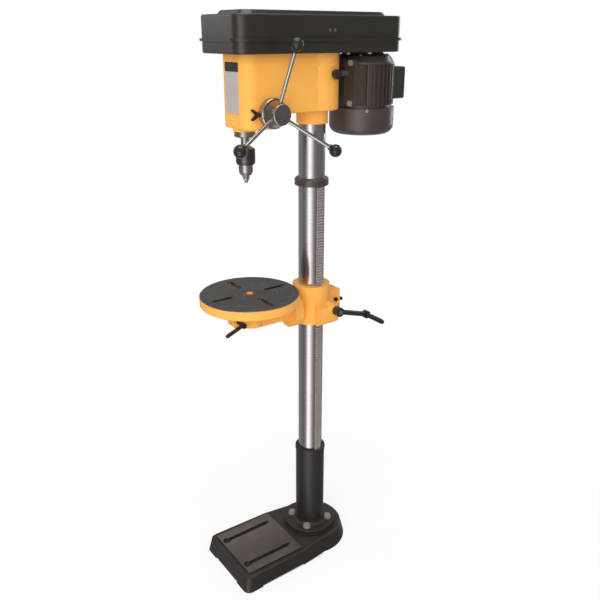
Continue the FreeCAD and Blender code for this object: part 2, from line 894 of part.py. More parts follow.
def worm_shaft():
    """The worm stands for its thread as a waisted barrel that clears the wheel's teeth."""
    low, high = worm_places()
    clear = worm_z - pinion_z - wheel_pitch_radius - tooth_tip * wheel_module - body_gap
    tail = low - worm_tail_length
    profile = [(0, tail), (worm_core_radius, tail), (worm_core_radius, low),
               (worm_tip_radius, low), (clear, pinion_x - worm_waist_half_length),
               (clear, pinion_x + worm_waist_half_length),
               (worm_tip_radius, high), (worm_tip_radius, worm_case_end + 1),
               (crank_shaft_radius, worm_case_end + 1),
               (crank_shaft_radius, crank_inner_x + crank_hub_length + 1),
               (0, crank_inner_x + crank_hub_length + 1)]
    return turned(profile, V(0, wheel_y, worm_z), X_AXIS)


def gearbox_hollows():
    """What the lifting gear runs in."""
    pinion_tip = pinion_pitch_radius + tooth_tip * rack_module + chamber_gap
    wheel_tip = wheel_pitch_radius + tooth_tip * wheel_module + chamber_gap
    pinion_room = along_y(pinion_tip, -pinion_half_width - chamber_gap,
                          pinion_half_width + chamber_gap, pinion_x, pinion_z)
    wheel_room = along_y(wheel_tip, wheel_y - wheel_half_width - chamber_gap,
                         wheel_y + wheel_half_width + chamber_gap, pinion_x, pinion_z)
    cover = shaft_end_cover - face_gap
    shaft_bore = along_y(pinion_shaft_radius + running_gap, gearbox_front_y + cover,
                         gearbox_rear_y - cover, pinion_x, pinion_z)
    low, high = worm_places()
    worm_bore = along_x(worm_tip_radius + running_gap, low - 1, worm_case_end + 1,
                        wheel_y, worm_z)
    worm_room = along_x(worm_tip_radius + chamber_gap, low - 1, high, wheel_y, worm_z)
    tail_bore = along_x(worm_core_radius + running_gap, low - worm_tail_length - cut_margin, low,
                        wheel_y, worm_z)
    return [pinion_room, wheel_room, shaft_bore, worm_bore, worm_room, tail_bore]


def gear_case():
    """The housing on the sleeve's right: rounded under the pinion, a barrel for the worm."""
    outer = pinion_x + gear_case_radius
    low_part = along_y(gear_case_radius, gearbox_front_y, gearbox_rear_y, pinion_x, pinion_z)
    high_part = block((column_radius, outer), (gearbox_front_y, gearbox_rear_y),
                      (pinion_z, gearbox_top))
    high_part = high_part.makeFillet(gearbox_fillet, edges_at(high_part, lambda box: (
        box.ZMin > gearbox_top - 1e-3 and box.XLength < 1e-3)))
    barrel = along_x(worm_case_radius, column_radius, worm_case_end, wheel_y, worm_z)
    return [low_part, high_part, barrel]


def table_bracket():
    sleeve = vertical(bracket_radius, bracket_bottom, bracket_top)
    disc = along_y(tilt_disc_radius, tilt_face_y, tilt_face_y + tilt_disc_thickness,
                   0, tilt_height)
    neck = block((-neck_half_width, neck_half_width), (tilt_face_y, 0),
                 (tilt_height - neck_half_height, tilt_height + neck_half_height))
    ears = block((-bracket_ear_half_width, bracket_ear_half_width),
                 (column_radius, bracket_ear_end),
                 (clamp_z - bracket_ear_half_height, clamp_z + bracket_ear_half_height))
    ears = ears.makeFillet(ear_fillet, edges_at(ears, lambda box: (
        box.YMin > bracket_ear_end - 1e-3 and box.ZLength < 1e-3)))
    casting = joined(sleeve, neck, disc, ears, *gear_case())
    bore = vertical(column_radius + running_gap, bracket_bottom - 1, bracket_top + 1)
    rack_way = block((0, rack_tip + body_gap),
                     (-rack_half_width - body_gap, rack_half_width + body_gap),
                     (bracket_bottom - 1, bracket_top + 1))
    split = block((-clamp_slot / 2, clamp_slot / 2), (0, bracket_ear_end + 1),
                  (bracket_bottom - 1, bracket_top + 1))
    clamp_bore = along_x(clamp_screw_radius + running_gap, -bracket_ear_half_width - 1,
                         bracket_ear_half_width + 1, bracket_clamp_y, clamp_z)
    tilt_bore = along_y(tilt_bolt_radius + running_gap, tilt_face_y - 1,
                        tilt_face_y + tilt_bolt_reach, 0, tilt_height)
    return less(casting, bore, rack_way, split, clamp_bore, tilt_bore, *gearbox_hollows())


def crank_eye_centre():
    outer = crank_inner_x + crank_hub_length
    return V(outer - crank_eye_length / 2, wheel_y + crank_rear_reach, worm_z - crank_drop)


def crank_arm():
    outer = crank_inner_x + crank_hub_length
    hub = along_x(crank_hub_radius, crank_inner_x, outer, wheel_y, worm_z)
    eye = crank_eye_centre()
    eye_low = eye.x - crank_eye_length / 2
    eye_boss = along_x(crank_eye_radius, eye_low, outer, eye.y, eye.z)
    arm = between(V(eye.x, wheel_y, worm_z), eye, crank_arm_radius)
    shaft_hole = along_x(crank_shaft_radius, crank_inner_x - 1, outer + 1, wheel_y, worm_z)
    cap_low = outer + crank_grip_length + crank_cap_gap
    cap_high = cap_low + crank_cap_thickness
    pin = along_x(crank_pin_radius, eye_low, cap_high, eye.y, eye.z)
    cap = along_x(crank_pin_radius + crank_cap_extra, cap_low, cap_high, eye.y, eye.z)
    return joined(less(joined(hub, arm, eye_boss), shaft_hole), pin, cap)


def crank_grip():
    outer = crank_inner_x + crank_hub_length + body_gap
    eye = crank_eye_centre()
    end = crank_grip_radius
    neck = end - crank_grip_taper
    length = crank_grip_length
    hole = crank_pin_radius + running_gap
    taper = crank_grip_taper_length
    profile = [(hole, 0), (neck, 0), (end, taper), (end, length - taper), (neck, length),
               (hole, length)]
    return turned(profile, V(outer, eye.y, eye.z), X_AXIS)


def lever(pivot, screw_start, screw_end, screw_radius, hub_radius, hub, tip, bar_radius):
    """A clamp screw along X with a hub and a round bar that thickens to a soft end."""
    screw = along_x(screw_radius, screw_start, screw_end, pivot.y, pivot.z)
    boss = along_x(hub_radius, hub[0], hub[1], pivot.y, pivot.z)
    middle = V((hub[0] + hub[1]) / 2, pivot.y, pivot.z)
    bar = between(middle, tip, bar_radius)
    return joined(screw, boss, bar, Part.makeSphere(bar_radius, tip))


def table_clamp_lever():
    pivot = V(0, arm_clamp_y, arm_clamp_z)
    end = arm_ear_half_width + table_lever_stand
    tip = V(end - table_lever_hub_length / 2, arm_clamp_y - table_lever_reach,
            arm_clamp_z - table_lever_drop)
    return lever(pivot, -arm_ear_half_width - lever_screw_end, end, arm_clamp_radius,
                 table_lever_hub_radius, (end - table_lever_hub_length, end), tip,
                 table_lever_bar_radius)


def column_clamp_lever():
    pivot = V(0, bracket_clamp_y, clamp_z)
    end = -bracket_ear_half_width - column_lever_hub_length
    tip = V(end + column_lever_hub_radius, bracket_clamp_y + column_lever_reach,
            clamp_z - column_lever_drop)
    return lever(pivot, end, bracket_ear_half_width + lever_screw_end, clamp_screw_radius,
                 column_lever_hub_radius, (end, -bracket_ear_half_width - face_gap), tip,
                 column_lever_bar_radius)


# ================= table =================

def table_arm():
    face = tilt_face_y - face_gap
    disc = along_y(tilt_disc_radius, face - arm_disc_thickness, face, 0, tilt_height)
    beam = block((-arm_half_width, arm_half_width), (spindle_y, face),
                 (arm_bottom, arm_top))
    boss = vertical(post_boss_radius, post_boss_bottom, table_boss_top, 0, spindle_y)
    ears = block((-arm_ear_half_width, arm_ear_half_width), (arm_ear_front, spindle_y),
                 (arm_ear_bottom, arm_ear_top))
    ears = ears.makeFillet(arm_ear_fillet, edges_at(ears, lambda box: (
        box.YMax < arm_ear_front + 1e-3 and box.ZLength < 1e-3)))
    casting = joined(disc, beam, boss, ears)
    bore = vertical(post_radius + running_gap, post_boss_bottom - 1, table_top, 0, spindle_y)
    split = block((-clamp_slot / 2, clamp_slot / 2), (arm_ear_front - 1, spindle_y),
                  (post_boss_bottom - 1, table_top))
    clamp_bore = along_x(arm_clamp_radius + running_gap, -arm_ear_half_width - 1,
                         arm_ear_half_width + 1, arm_clamp_y, arm_clamp_z)
    bolt_bore = along_y(tilt_bolt_radius + bolt_gap, face - arm_disc_thickness - 1, face + 1,
                        0, tilt_height)
    room = arm_half_width - arm_wall
    front = spindle_y + post_boss_radius + arm_hollow_gap
    hollow = block((-room, room), (front, face - arm_disc_thickness),
                   (arm_bottom - 1, arm_top - arm_wall))
    return less(casting, bore, split, clamp_bore, bolt_bore, hollow)


def tilt_bolt():
    seat = V(0, tilt_face_y - face_gap - arm_disc_thickness, tilt_height)
    return bolt(seat, -Y_AXIS, tilt_bolt_flats, tilt_bolt_head, tilt_bolt_radius,
                arm_disc_thickness + tilt_bolt_reach - 1)


def table_slot_boxes():
    """Four through slots, two along X and two along Y, as block arguments."""
    half = table_slot_width / 2
    span = (table_slot_inner, table_slot_outer)
    back = (-table_slot_outer, -table_slot_inner)
    across = (-half, half)
    slots = []
    for along in (span, back):
        slots.append((along, (spindle_y - half, spindle_y + half)))
        slots.append((across, (spindle_y + along[0], spindle_y + along[1])))
    return slots


def table_slot(x, y):
    low = table_rim_bottom
    return rounded_block(x, y, (low, table_top + 1), table_slot_width / 2 - round_end)


def work_table():
    plate_bottom = table_top - table_plate
    profile = [(0, plate_bottom), (table_radius - table_rim_wall, plate_bottom),
               (table_radius - table_rim_wall, table_rim_bottom),
               (table_radius - table_low_edge, table_rim_bottom),
               (table_radius, table_rim_bottom + table_low_edge),
               (table_radius, table_top - table_edge), (table_radius - table_edge, table_top),
               (0, table_top)]
    dish = turned(profile, V(0, spindle_y, 0))
    hub = vertical(table_hub_radius, table_rim_bottom, plate_bottom, 0, spindle_y)
    post = vertical(post_radius, post_bottom, plate_bottom, 0, spindle_y)
    half = table_rib_thickness / 2
    reach = table_radius - table_rim_wall / 2
    rib = block((-reach, reach), (spindle_y - half, spindle_y + half),
                (table_rim_bottom + table_rib_lift, plate_bottom))
    ribs = []
    for turn in (45, 45 + 90):
        copy = rib.copy()
        copy.rotate(V(0, spindle_y, 0), Z_AXIS, turn)
        ribs.append(copy)
    slots = [table_slot(x, y) for x, y in table_slot_boxes()]
    hole = vertical(table_hole_radius, post_bottom - 1, table_top + 1, 0, spindle_y)
    return less(joined(dish, hub, post, *ribs), hole, *slots)


# ================= head =================

def head_outline(inset, z):
    """The head's plan: a box with round front corners that meets a round rear."""
    half = head_half_width - inset
    front = head_front + inset
    corner = head_corner - inset
    rear = head_rear_radius - inset
    meet = -math.sqrt(rear ** 2 - half ** 2)
    bend = corner * (1 - math.sqrt(0.5))
    return Part.Wire([
        Part.makeLine(V(-half + corner, front, z), V(half - corner, front, z)),
        Part.Arc(V(half - corner, front, z), V(half - bend, front + bend, z),
                 V(half, front + corner, z)).toShape(),
        Part.makeLine(V(half, front + corner, z), V(half, meet, z)),
        Part.Arc(V(half, meet, z), V(0, rear, z), V(-half, meet, z)).toShape(),
        Part.makeLine(V(-half, meet, z), V(-half, front + corner, z)),
        Part.Arc(V(-half, front + corner, z), V(-half + bend, front + bend, z),
                 V(-half + corner, front, z)).toShape()])


def head_prism(inset, low, high):
    return Part.Face(head_outline(inset, low)).extrude(V(0, 0, high - low))


def slide_bar_places():
    return (slide_bar_x, -slide_bar_x)


def head_casting():
    body = head_prism(0, head_bottom, head_top)
    nose = head_prism(0, nose_bottom, head_bottom + 1).common(
        block((-head_rear_radius, head_rear_radius), (head_front - 1, nose_rear),
              (nose_bottom - 1, head_bottom + 2)))
    outside = joined(body, nose)
    outside = outside.makeFillet(head_edge_fillet, edges_at(outside, lambda box: (
        (abs(box.ZMin - nose_bottom) < 1e-3 and abs(box.ZMax - nose_bottom) < 1e-3)
        or (abs(box.ZMin - head_bottom) < 1e-3 and abs(box.ZMax - head_bottom) < 1e-3
            and box.YMax > nose_rear + 1 and box.YMin > nose_rear - 1
            and box.YLength > 1))))
    hollow = head_prism(head_wall, head_bottom + head_wall, head_top - head_top_wall)
    hollow_roof = head_top - head_top_wall
    shell = outside.cut(hollow)
    guide = vertical(quill_guide_radius, nose_bottom + 1, quill_guide_top, 0, spindle_y).common(
        head_prism(1, nose_bottom, head_top))
    nose_boss = vertical(quill_boss_radius, quill_boss_bottom, nose_bottom + 2, 0, spindle_y)
    socket = vertical(column_socket_radius, head_bottom, column_top + column_socket_roof)
    column_boss = vertical(column_boss_radius, column_boss_bottom, head_bottom + 1)
    bearing_boss = vertical(bearing_boss_radius, sleeve_bottom, hollow_roof + 1, 0,
                            spindle_y).common(head_prism(1, sleeve_bottom, head_top))
    feed_boss = along_x(feed_boss_radius, -head_half_width + 1, head_half_width - 1,
                        feed_y, feed_z)
    idler_boss = vertical(idler_post_radius + idler_boss_wall, sleeve_bottom, hollow_roof + 1,
                          idler_pivot_x, idler_pivot_y)
    slide_bosses = [along_y(slide_boss_radius, slide_boss_front, slide_boss_rear, x, slide_bar_z)
                    for x in slide_bar_places()]
    roof_ribs = block((-roof_rib_half_width, roof_rib_half_width),
                      (spindle_y + roof_rib_front, roof_rib_rear), (sleeve_bottom, hollow_roof + 1))
    casting = joined(shell, guide, nose_boss, socket, column_boss, bearing_boss, feed_boss,
                     idler_boss, roof_ribs, *slide_bosses)
    cuts = [
        vertical(quill_radius + running_gap, quill_boss_bottom - 1, quill_top + 1,
                 0, spindle_y),
        vertical(column_radius + running_gap, column_boss_bottom - 1, column_top + column_end_gap),
        vertical(column_radius - column_wall, column_top - 1,
                 column_top + column_socket_roof + cut_margin),
        vertical(pulley_bearing_radius, pulley_bearing_bottom, head_top + 1, 0, spindle_y),
        vertical(pulley_bearing_radius - pulley_bearing_lip, sleeve_bottom - 1, head_top, 0, spindle_y),
        along_x(feed_journal_radius + running_gap, -feed_pinion_half_width - feed_relief,
                head_half_width + 1, feed_y, feed_z),
        along_x(feed_shaft_radius + running_gap, -head_half_width - 1, 0, feed_y, feed_z),
        vertical(idler_post_radius + running_gap, sleeve_bottom + 2, head_top + 1,
                 idler_pivot_x, idler_pivot_y),
        along_x(head_screw_radius + running_gap, -head_rear_radius - cut_margin, 0,
                head_screw_y, head_screw_z),
        along_x(knob_screw_radius + running_gap, slide_bar_x, head_rear_radius + 1,
                knob_y, slide_bar_z)]
    for x in slide_bar_places():
        cuts.append(along_y(slide_bar_radius + running_gap, slide_bar_front - motor_travel - 2,
                            head_rear_radius + 1, x, slide_bar_z))
    for x in (pan_bolt_front_x, -pan_bolt_front_x):
        for y in pan_bolt_front_places:
            cuts.append(vertical(pan_bolt_radius + running_gap, hollow_roof - 1, head_top + 1,
                                 x, y))
    return less(casting, *cuts)


# ================= quill, spindle, chuck =================

def quill():
    body = vertical(quill_radius, quill_bottom, quill_top, 0, spindle_y)
    body = body.makeChamfer(quill_chamfer, [edge for edge in body.Edges
                                  if isinstance(edge.Curve, Part.Circle)])
    bore = vertical(quill_bore_radius, quill_bottom - 1, quill_top + 1, 0, spindle_y)
    seats = []
    for low, high in ((quill_bottom - 1, quill_bottom + quill_bearing_height),
                      (quill_top - quill_bearing_height, quill_top + 1)):
        seats.append(vertical(quill_bearing_radius, low, high, 0, spindle_y))
    pitch = math.pi * feed_module
    line = spindle_y + feed_pitch_depth
    high = quill_radius - feed_pitch_depth + 0.5
    low = -quill_root * feed_module
    wide = pitch / 2 - rack_half_thickness(feed_module, gear_slack, high)
    narrow = pitch / 2 - rack_half_thickness(feed_module, gear_slack, low)
    first = math.ceil((feed_rack_bottom - feed_z) / pitch)
    last = math.floor((quill_top - feed_z) / pitch)
    spaces = []
    for place in range(first, last + 1):
        z = feed_z + (place + 0.5) * pitch
        side = -quill_rack_half_width
        corners = [V(side, line + low, z - narrow), V(side, line + high, z - wide),
                   V(side, line + high, z + wide), V(side, line + low, z + narrow)]
        spaces.append(prism(corners, V(2 * quill_rack_half_width, 0, 0)))
    return less(body, bore, *seats).cut(Part.makeCompound(spaces))


def ring_bearing(outer, inner, low, height):
    """A shielded ball bearing: two races with a shield set back between them."""
    third = (outer - inner) / 3
    high = low + height
    inset = bearing_shield_inset
    profile = [(inner, low), (inner + third, low), (inner + third, low + inset),
               (outer - third, low + inset), (outer - third, low), (outer, low),
               (outer, high), (outer - third, high), (outer - third, high - inset),
               (inner + third, high - inset), (inner + third, high), (inner, high)]
    return turned(profile, V(0, spindle_y, 0))


def quill_bearings():
    inner = spindle_radius + running_gap
    return Part.makeCompound([
        ring_bearing(quill_bearing_radius, inner, quill_bottom, quill_bearing_height),
        ring_bearing(quill_bearing_radius, inner, quill_top - quill_bearing_height,
                     quill_bearing_height)])


def spline_section(minor, major, width, low, high):
    """A splined bar about the spindle's axis."""
    parts = [vertical(minor, low, high, 0, spindle_y)]
    for tooth in range(spline_count // 2):
        key = block((-major, major), (spindle_y - width / 2, spindle_y + width / 2), (low, high))
        key.rotate(V(0, spindle_y, 0), Z_AXIS, tooth * 360 / spline_count)
        parts.append(key)
    return joined(*parts)


def spindle():
    taper_bottom = chuck_top - chuck_taper_depth
    shoulder = quill_bottom - face_gap
    profile = [(0, taper_bottom), (chuck_taper_bottom_radius, taper_bottom),
               (chuck_taper_top_radius, chuck_top), (spindle_nose_radius, chuck_top + 1),
               (spindle_nose_radius, shoulder - spindle_shoulder_height),
               (spindle_shoulder_radius, shoulder - spindle_shoulder_height),
               (spindle_shoulder_radius, shoulder), (spindle_radius, shoulder),
               (spindle_radius, spindle_spline_bottom), (0, spindle_spline_bottom)]
    body = turned(profile, V(0, spindle_y, 0))
    spline = spline_section(spline_minor_radius, spline_major_radius, spline_width,
                            spindle_spline_bottom - 1, spindle_top)
    return joined(body, spline)


def jaw_axis(turn):
    """A jaw's axis at its tip, and the way it slides to open, for a jaw at an angle."""
    outward = V(math.cos(turn), math.sin(turn), 0)
    tip = V(0, spindle_y, jaw_tip_z) + outward * jaw_tip_offset
    lean = math.radians(jaw_tilt)
    return tip, outward * math.sin(lean) + Z_AXIS * math.cos(lean), outward


def jaw_turns():
    return [math.radians(90 + jaw * 360 / jaw_count) for jaw in range(jaw_count)]


def chuck_body():
    profile = [(0, chuck_nose_bottom), (chuck_nose_radius - chuck_nose_step, chuck_nose_bottom),
               (chuck_nose_radius, chuck_nose_bottom + chuck_nose_taper),
               (chuck_nose_radius, chuck_nose_top), (chuck_core_radius, chuck_nose_top),
               (chuck_core_radius, chuck_top - chuck_top_step),
               (chuck_core_radius - chuck_top_step, chuck_top), (0, chuck_top)]
    body = turned(profile, V(0, spindle_y, 0))
    taper = turned([(0, chuck_top - chuck_taper_depth),
                    (chuck_taper_bottom_radius, chuck_top - chuck_taper_depth),
                    (chuck_taper_top_radius, chuck_top), (chuck_taper_top_radius, chuck_top + 1),
                    (0, chuck_top + 1)], V(0, spindle_y, 0))
    throat = vertical(chuck_throat_radius, chuck_nose_bottom - 1,
                      chuck_top - chuck_taper_depth + 1, 0, spindle_y)
    bores = []
    key_holes = []
    for turn in jaw_turns():
        tip, slide, outward = jaw_axis(turn)
        bores.append(between(tip, tip + slide * jaw_bore_length, jaw_radius + running_gap))
        middle = turn + math.pi / jaw_count
        side = V(math.cos(middle), math.sin(middle), 0)
        start = V(0, spindle_y, key_hole_z) + side * (chuck_nose_radius - key_hole_inset)
        key_holes.append(between(start, start + side * key_hole_depth, key_hole_radius))
    return less(body, taper, throat, *bores, *key_holes)


def chuck_sleeve():
    inner = chuck_core_radius + running_gap
    low = chuck_nose_top + face_gap
    high = chuck_top - chuck_top_step
    outer = chuck_sleeve_radius
    profile = [(inner, low), (outer - chuck_sleeve_low_step, low),
               (outer, low + chuck_sleeve_low_taper), (outer, high - chuck_sleeve_top_taper),
               (outer - chuck_sleeve_top_step, high), (inner, high),
               (inner, chuck_nut_top), (chuck_nut_radius, chuck_nut_top),
               (chuck_nut_radius, chuck_nut_bottom), (inner, chuck_nut_bottom)]
    ring = turned(profile, V(0, spindle_y, 0))
    gullets = []
    for tooth in range(chuck_teeth):
        turn = 2 * math.pi * tooth / chuck_teeth
        outward = V(math.cos(turn), math.sin(turn), 0)
        start = V(0, spindle_y, low) + outward * (inner + gullet_radius)
        end = start + outward * gullet_length + Z_AXIS * gullet_rise
        gullets.append(between(start, end, gullet_radius))
    return ring.cut(Part.makeCompound(gullets))


def chuck_jaw(turn):
    tip, slide, outward = jaw_axis(turn)
    length = (jaw_top_z - jaw_tip_z) / math.cos(math.radians(jaw_tilt))
    rod = between(tip - slide * 2, tip + slide * length, jaw_radius)
    reach = jaw_wedge_reach
    wedge = prism([V(jaw_flat, 0, jaw_tip_z), V(reach, -jaw_wedge_spread, jaw_tip_z),
                   V(reach, jaw_wedge_spread, jaw_tip_z)], V(0, 0, 2 * reach))
    point = turned([(0, jaw_tip_z), (jaw_point_radius, jaw_tip_z),
                    (jaw_point_wide_radius, jaw_tip_z + jaw_point_height),
                    (reach, jaw_tip_z + reach), (reach, jaw_tip_z + 2 * reach),
                    (0, jaw_tip_z + 2 * reach)], V(0, 0, 0))
    keep = wedge.common(point)
    keep.rotate(V(0, 0, 0), Z_AXIS, math.degrees(turn))
    keep.translate(V(0, spindle_y, 0))
    return rod.common(keep)


# ================= feed gear =================

def feed_shaft():
    gear = gear_points(feed_module, feed_teeth, gear_slack, math.pi)
    half = feed_pinion_half_width
    pinion = prism([V(-half, feed_y + u, feed_z + v) for u, v in gear], V(2 * half, 0, 0))
    journal = along_x(feed_journal_radius, feed_journal_start, ring_outer_x + hub_gap,
                      feed_y, feed_z)
    end = -head_half_width - spring_housing_depth + spring_housing_wall + 1
    core = along_x(feed_shaft_radius, end, hub_front_x - hub_cap_thickness, feed_y, feed_z)
    return joined(pinion, journal, core)


def feed_hub():
    back = ring_outer_x + hub_gap
    cap = hub_front_x - hub_cap_thickness
    profile = [(feed_shaft_radius, back), (hub_back_radius, back),
               (hub_back_radius, back + hub_back_rim),
               (hub_front_radius, hub_front_x - hub_front_length),
               (hub_front_radius, hub_front_x - hub_edge),
               (hub_front_radius - hub_edge, hub_front_x), (0, hub_front_x), (0, cap),
               (feed_shaft_radius, cap)]
    return less(turned(profile, V(0, feed_y, feed_z), X_AXIS), *feed_rods())


def rod_line(number):
    """Where a handle's rod starts inside the hub and where its ball is centred."""
    turn = math.radians(ball_first_angle + number * 360 / rod_count)
    outward = V(0, math.cos(turn), math.sin(turn))
    centre = V(0, feed_y, feed_z)
    start = centre + X_AXIS * rod_start_x + outward * rod_start_radius
    return start, centre + X_AXIS * ball_x + outward * ball_circle


def feed_rods():
    return [between(*rod_line(number), rod_radius) for number in range(rod_count)]


def feed_knobs():
    knobs = []
    for number in range(rod_count):
        start, centre = rod_line(number)
        inward = (start - centre).normalize()
        ball = Part.makeSphere(ball_radius, centre)
        collar = Part.makeCylinder(rod_radius + ball_collar_extra, ball_radius + ball_collar_reach,
                                   centre, inward)
        knobs.append(joined(ball, collar).cut(between(start, centre, rod_radius)))
    return knobs


def depth_ring():
    profile = [(ring_radius - 1, ring_inner_x), (ring_radius, ring_inner_x + 1),
               (ring_radius, ring_outer_x - 2), (ring_radius - 2, ring_outer_x),
               (feed_journal_radius + running_gap, ring_outer_x),
               (feed_journal_radius + running_gap, ring_inner_x)]
    ring = turned(profile, V(0, feed_y, feed_z), X_AXIS)
    hole = along_y(depth_screw_radius + running_gap, feed_y - ring_radius - 1, feed_y,
                   depth_screw_x, feed_z)
    return ring.cut(hole)


def depth_lock_screw():
    """A wing screw that enters the depth ring from the operator's side."""
    head_y = feed_y - ring_radius - wing_boss_stand
    tip_y = feed_y - feed_journal_radius - body_gap
    screw = along_y(depth_screw_radius, head_y - 1, tip_y, depth_screw_x, feed_z)
    boss_end = head_y - wing_boss_length
    boss = along_y(wing_boss_radius, boss_end, head_y, depth_screw_x, feed_z)
    span = wing_half_span
    end = feed_y - ring_radius - wing_reach
    root = head_y - wing_corner
    step = wing_step
    x = depth_screw_x - wing_half_thickness
    wing = prism([V(x, root, feed_z + step), V(x, end + wing_corner, feed_z + span),
                  V(x, end, feed_z + span - step), V(x, boss_end - 1, feed_z),
                  V(x, end, feed_z - span + step), V(x, end + wing_corner, feed_z - span),
                  V(x, root, feed_z - step)], V(2 * wing_half_thickness, 0, 0))
    wing = wing.makeFillet(wing_edge, edges_at(wing, lambda box: (
        box.XLength > wing_half_thickness)))
    return joined(screw, boss, wing)


def spring_housing():
    wall_x = -head_half_width
    outer = along_x(spring_housing_radius, wall_x - spring_housing_depth, wall_x,
                    feed_y, feed_z)
    outer = outer.makeFillet(spring_housing_fillet, edges_at(outer, lambda box: (
        box.XMax < wall_x - spring_housing_depth + 1e-3)))
    inner = along_x(spring_housing_radius - spring_housing_wall,
                    wall_x - spring_housing_depth + spring_housing_wall, wall_x + 1,
                    feed_y, feed_z)
    screw = hexagon(spring_nut_flats, V(wall_x - spring_housing_depth, feed_y, feed_z), -X_AXIS,
                    spring_nut_height)
    return joined(outer.cut(inner), screw)


def return_spring():
    """A flat spiral of half circles from near the shaft out to the housing's wall."""
    outer_radius = spring_housing_radius - spring_housing_wall - face_gap
    step = (outer_radius - spring_start_radius) / (2 * spring_turns)
    x = -head_half_width - spring_clear - spring_width

    def spiral(offset):
        edges = []
        last = None
        for half in range(2 * spring_turns):
            radius = spring_start_radius + half * step + step / 2
            sign = 1 if half % 2 == 0 else -1
            middle = feed_y + sign * step / 2
            begin = V(x, middle - sign * (radius - offset), feed_z)
            top = V(x, middle, feed_z + sign * (radius - offset))
            end = V(x, middle + sign * (radius - offset), feed_z)
            edges.append(Part.Arc(begin if last is None else last, top, end).toShape())
            last = end
        return edges

    outer_edges = spiral(0)
    inner_edges = spiral(spring_strip)
    start_cap = Part.makeLine(outer_edges[0].Vertexes[0].Point, inner_edges[0].Vertexes[0].Point)
    end_cap = Part.makeLine(outer_edges[-1].Vertexes[-1].Point,
                            inner_edges[-1].Vertexes[-1].Point)
    outline = Part.Wire(Part.__sortEdges__(outer_edges + inner_edges + [start_cap, end_cap]))
    return Part.Face(outline).extrude(V(spring_width, 0, 0))


# ================= belt guard =================

def guard_block(inset, z):
    """The guard's plan, inset all round, over a (low, high) height."""
    half = guard_half_width - inset
    return rounded_block((-half, half), (guard_front + inset, guard_rear - inset), z,
                         guard_corner - inset)


def knuckle(y, length, radius):
    """One barrel of a lid hinge, centred on y."""
    return along_y(radius, y - length / 2, y + length / 2, hinge_x, hinge_z)


def pan_bolt_places():
    places = [(side * pan_bolt_x, y) for side in (1, -1) for y in pan_bolt_rear_places]
    return places + [(side * pan_bolt_front_x, y) for side in (1, -1)
                     for y in pan_bolt_front_places]


def guard_pan():
    outer = guard_block(0, (head_top, guard_seam))
    outer = outer.makeFillet(lid_edge_fillet, level_edges(outer, head_top))
    lip = guard_block(-guard_lip, (guard_seam - guard_lip_height, guard_seam))
    inner = guard_block(guard_wall, (head_top + guard_floor, guard_seam + 1))
    pan = joined(outer, lip).cut(inner)
    leaves = []
    for y in hinge_places:
        half = hinge_leaf_length / 2
        leaf = block((hinge_x, -guard_half_width + guard_wall / 2), (y - half, y + half),
                     (guard_seam - guard_lip_height, hinge_z - body_gap))
        leaves.append(joined(knuckle(y, hinge_leaf_length, hinge_knuckle_radius), leaf))
    clear_side = block((-guard_half_width, 0), (guard_front, guard_rear),
                       (guard_seam, lid_side_top))
    slack = motor_shaft_radius + shaft_slot_gap
    shaft_slot = rounded_block((-slack, slack),
                               (motor_y - motor_travel - slack, motor_y + slack),
                               (head_top - 1, head_top + guard_floor + 1), slack - round_end)
    cuts = [shaft_slot, clear_side,
            vertical(pulley_bearing_radius, head_top - 1, head_top + guard_floor + 1,
                     0, spindle_y),
            vertical(idler_post_radius + 1, head_top - 1, head_top + guard_floor + 1,
                     idler_pivot_x, idler_pivot_y)]
    for y in hinge_places:
        cuts.append(knuckle(y, hinge_leaf_length + 2, hinge_pin_radius))
    for x, y in pan_bolt_places():
        cuts.append(vertical(pan_bolt_radius + bolt_gap, head_top - 1,
                             head_top + guard_floor + 1, x, y))
    return less(joined(pan, *leaves), *cuts)


def pan_bolts():
    floor = head_top + guard_floor
    bolts = []
    for x, y in pan_bolt_places():
        head = vertical(pan_bolt_head_radius, floor, floor + pan_bolt_head, x, y)
        if y in pan_bolt_rear_places:
            low = head_top - pan_nut_height
            nut = hexagon(pan_nut_flats, V(x, y, low), Z_AXIS, pan_nut_height)
            bolts.append(joined(head, vertical(pan_bolt_radius, low, floor + 1, x, y), nut))
        else:
            low = head_top - head_top_wall + 1
            bolts.append(joined(head, vertical(pan_bolt_radius, low, floor + 1, x, y)))
    return Part.makeCompound(bolts)


def lid_crown(inset, low, high):
    """The raised middle of the lid's top, with sides that lean in."""
    top_inset = inset + lid_crown_lean
    outlines = []
    for step, z in ((inset, low), (top_inset, high)):
        half = guard_half_width - step
        outlines.append(rounded_outline((-half, half), (guard_front + step, guard_rear - step),
                                        lid_crown_corner, z))
    return Part.makeLoft(outlines, True, True)


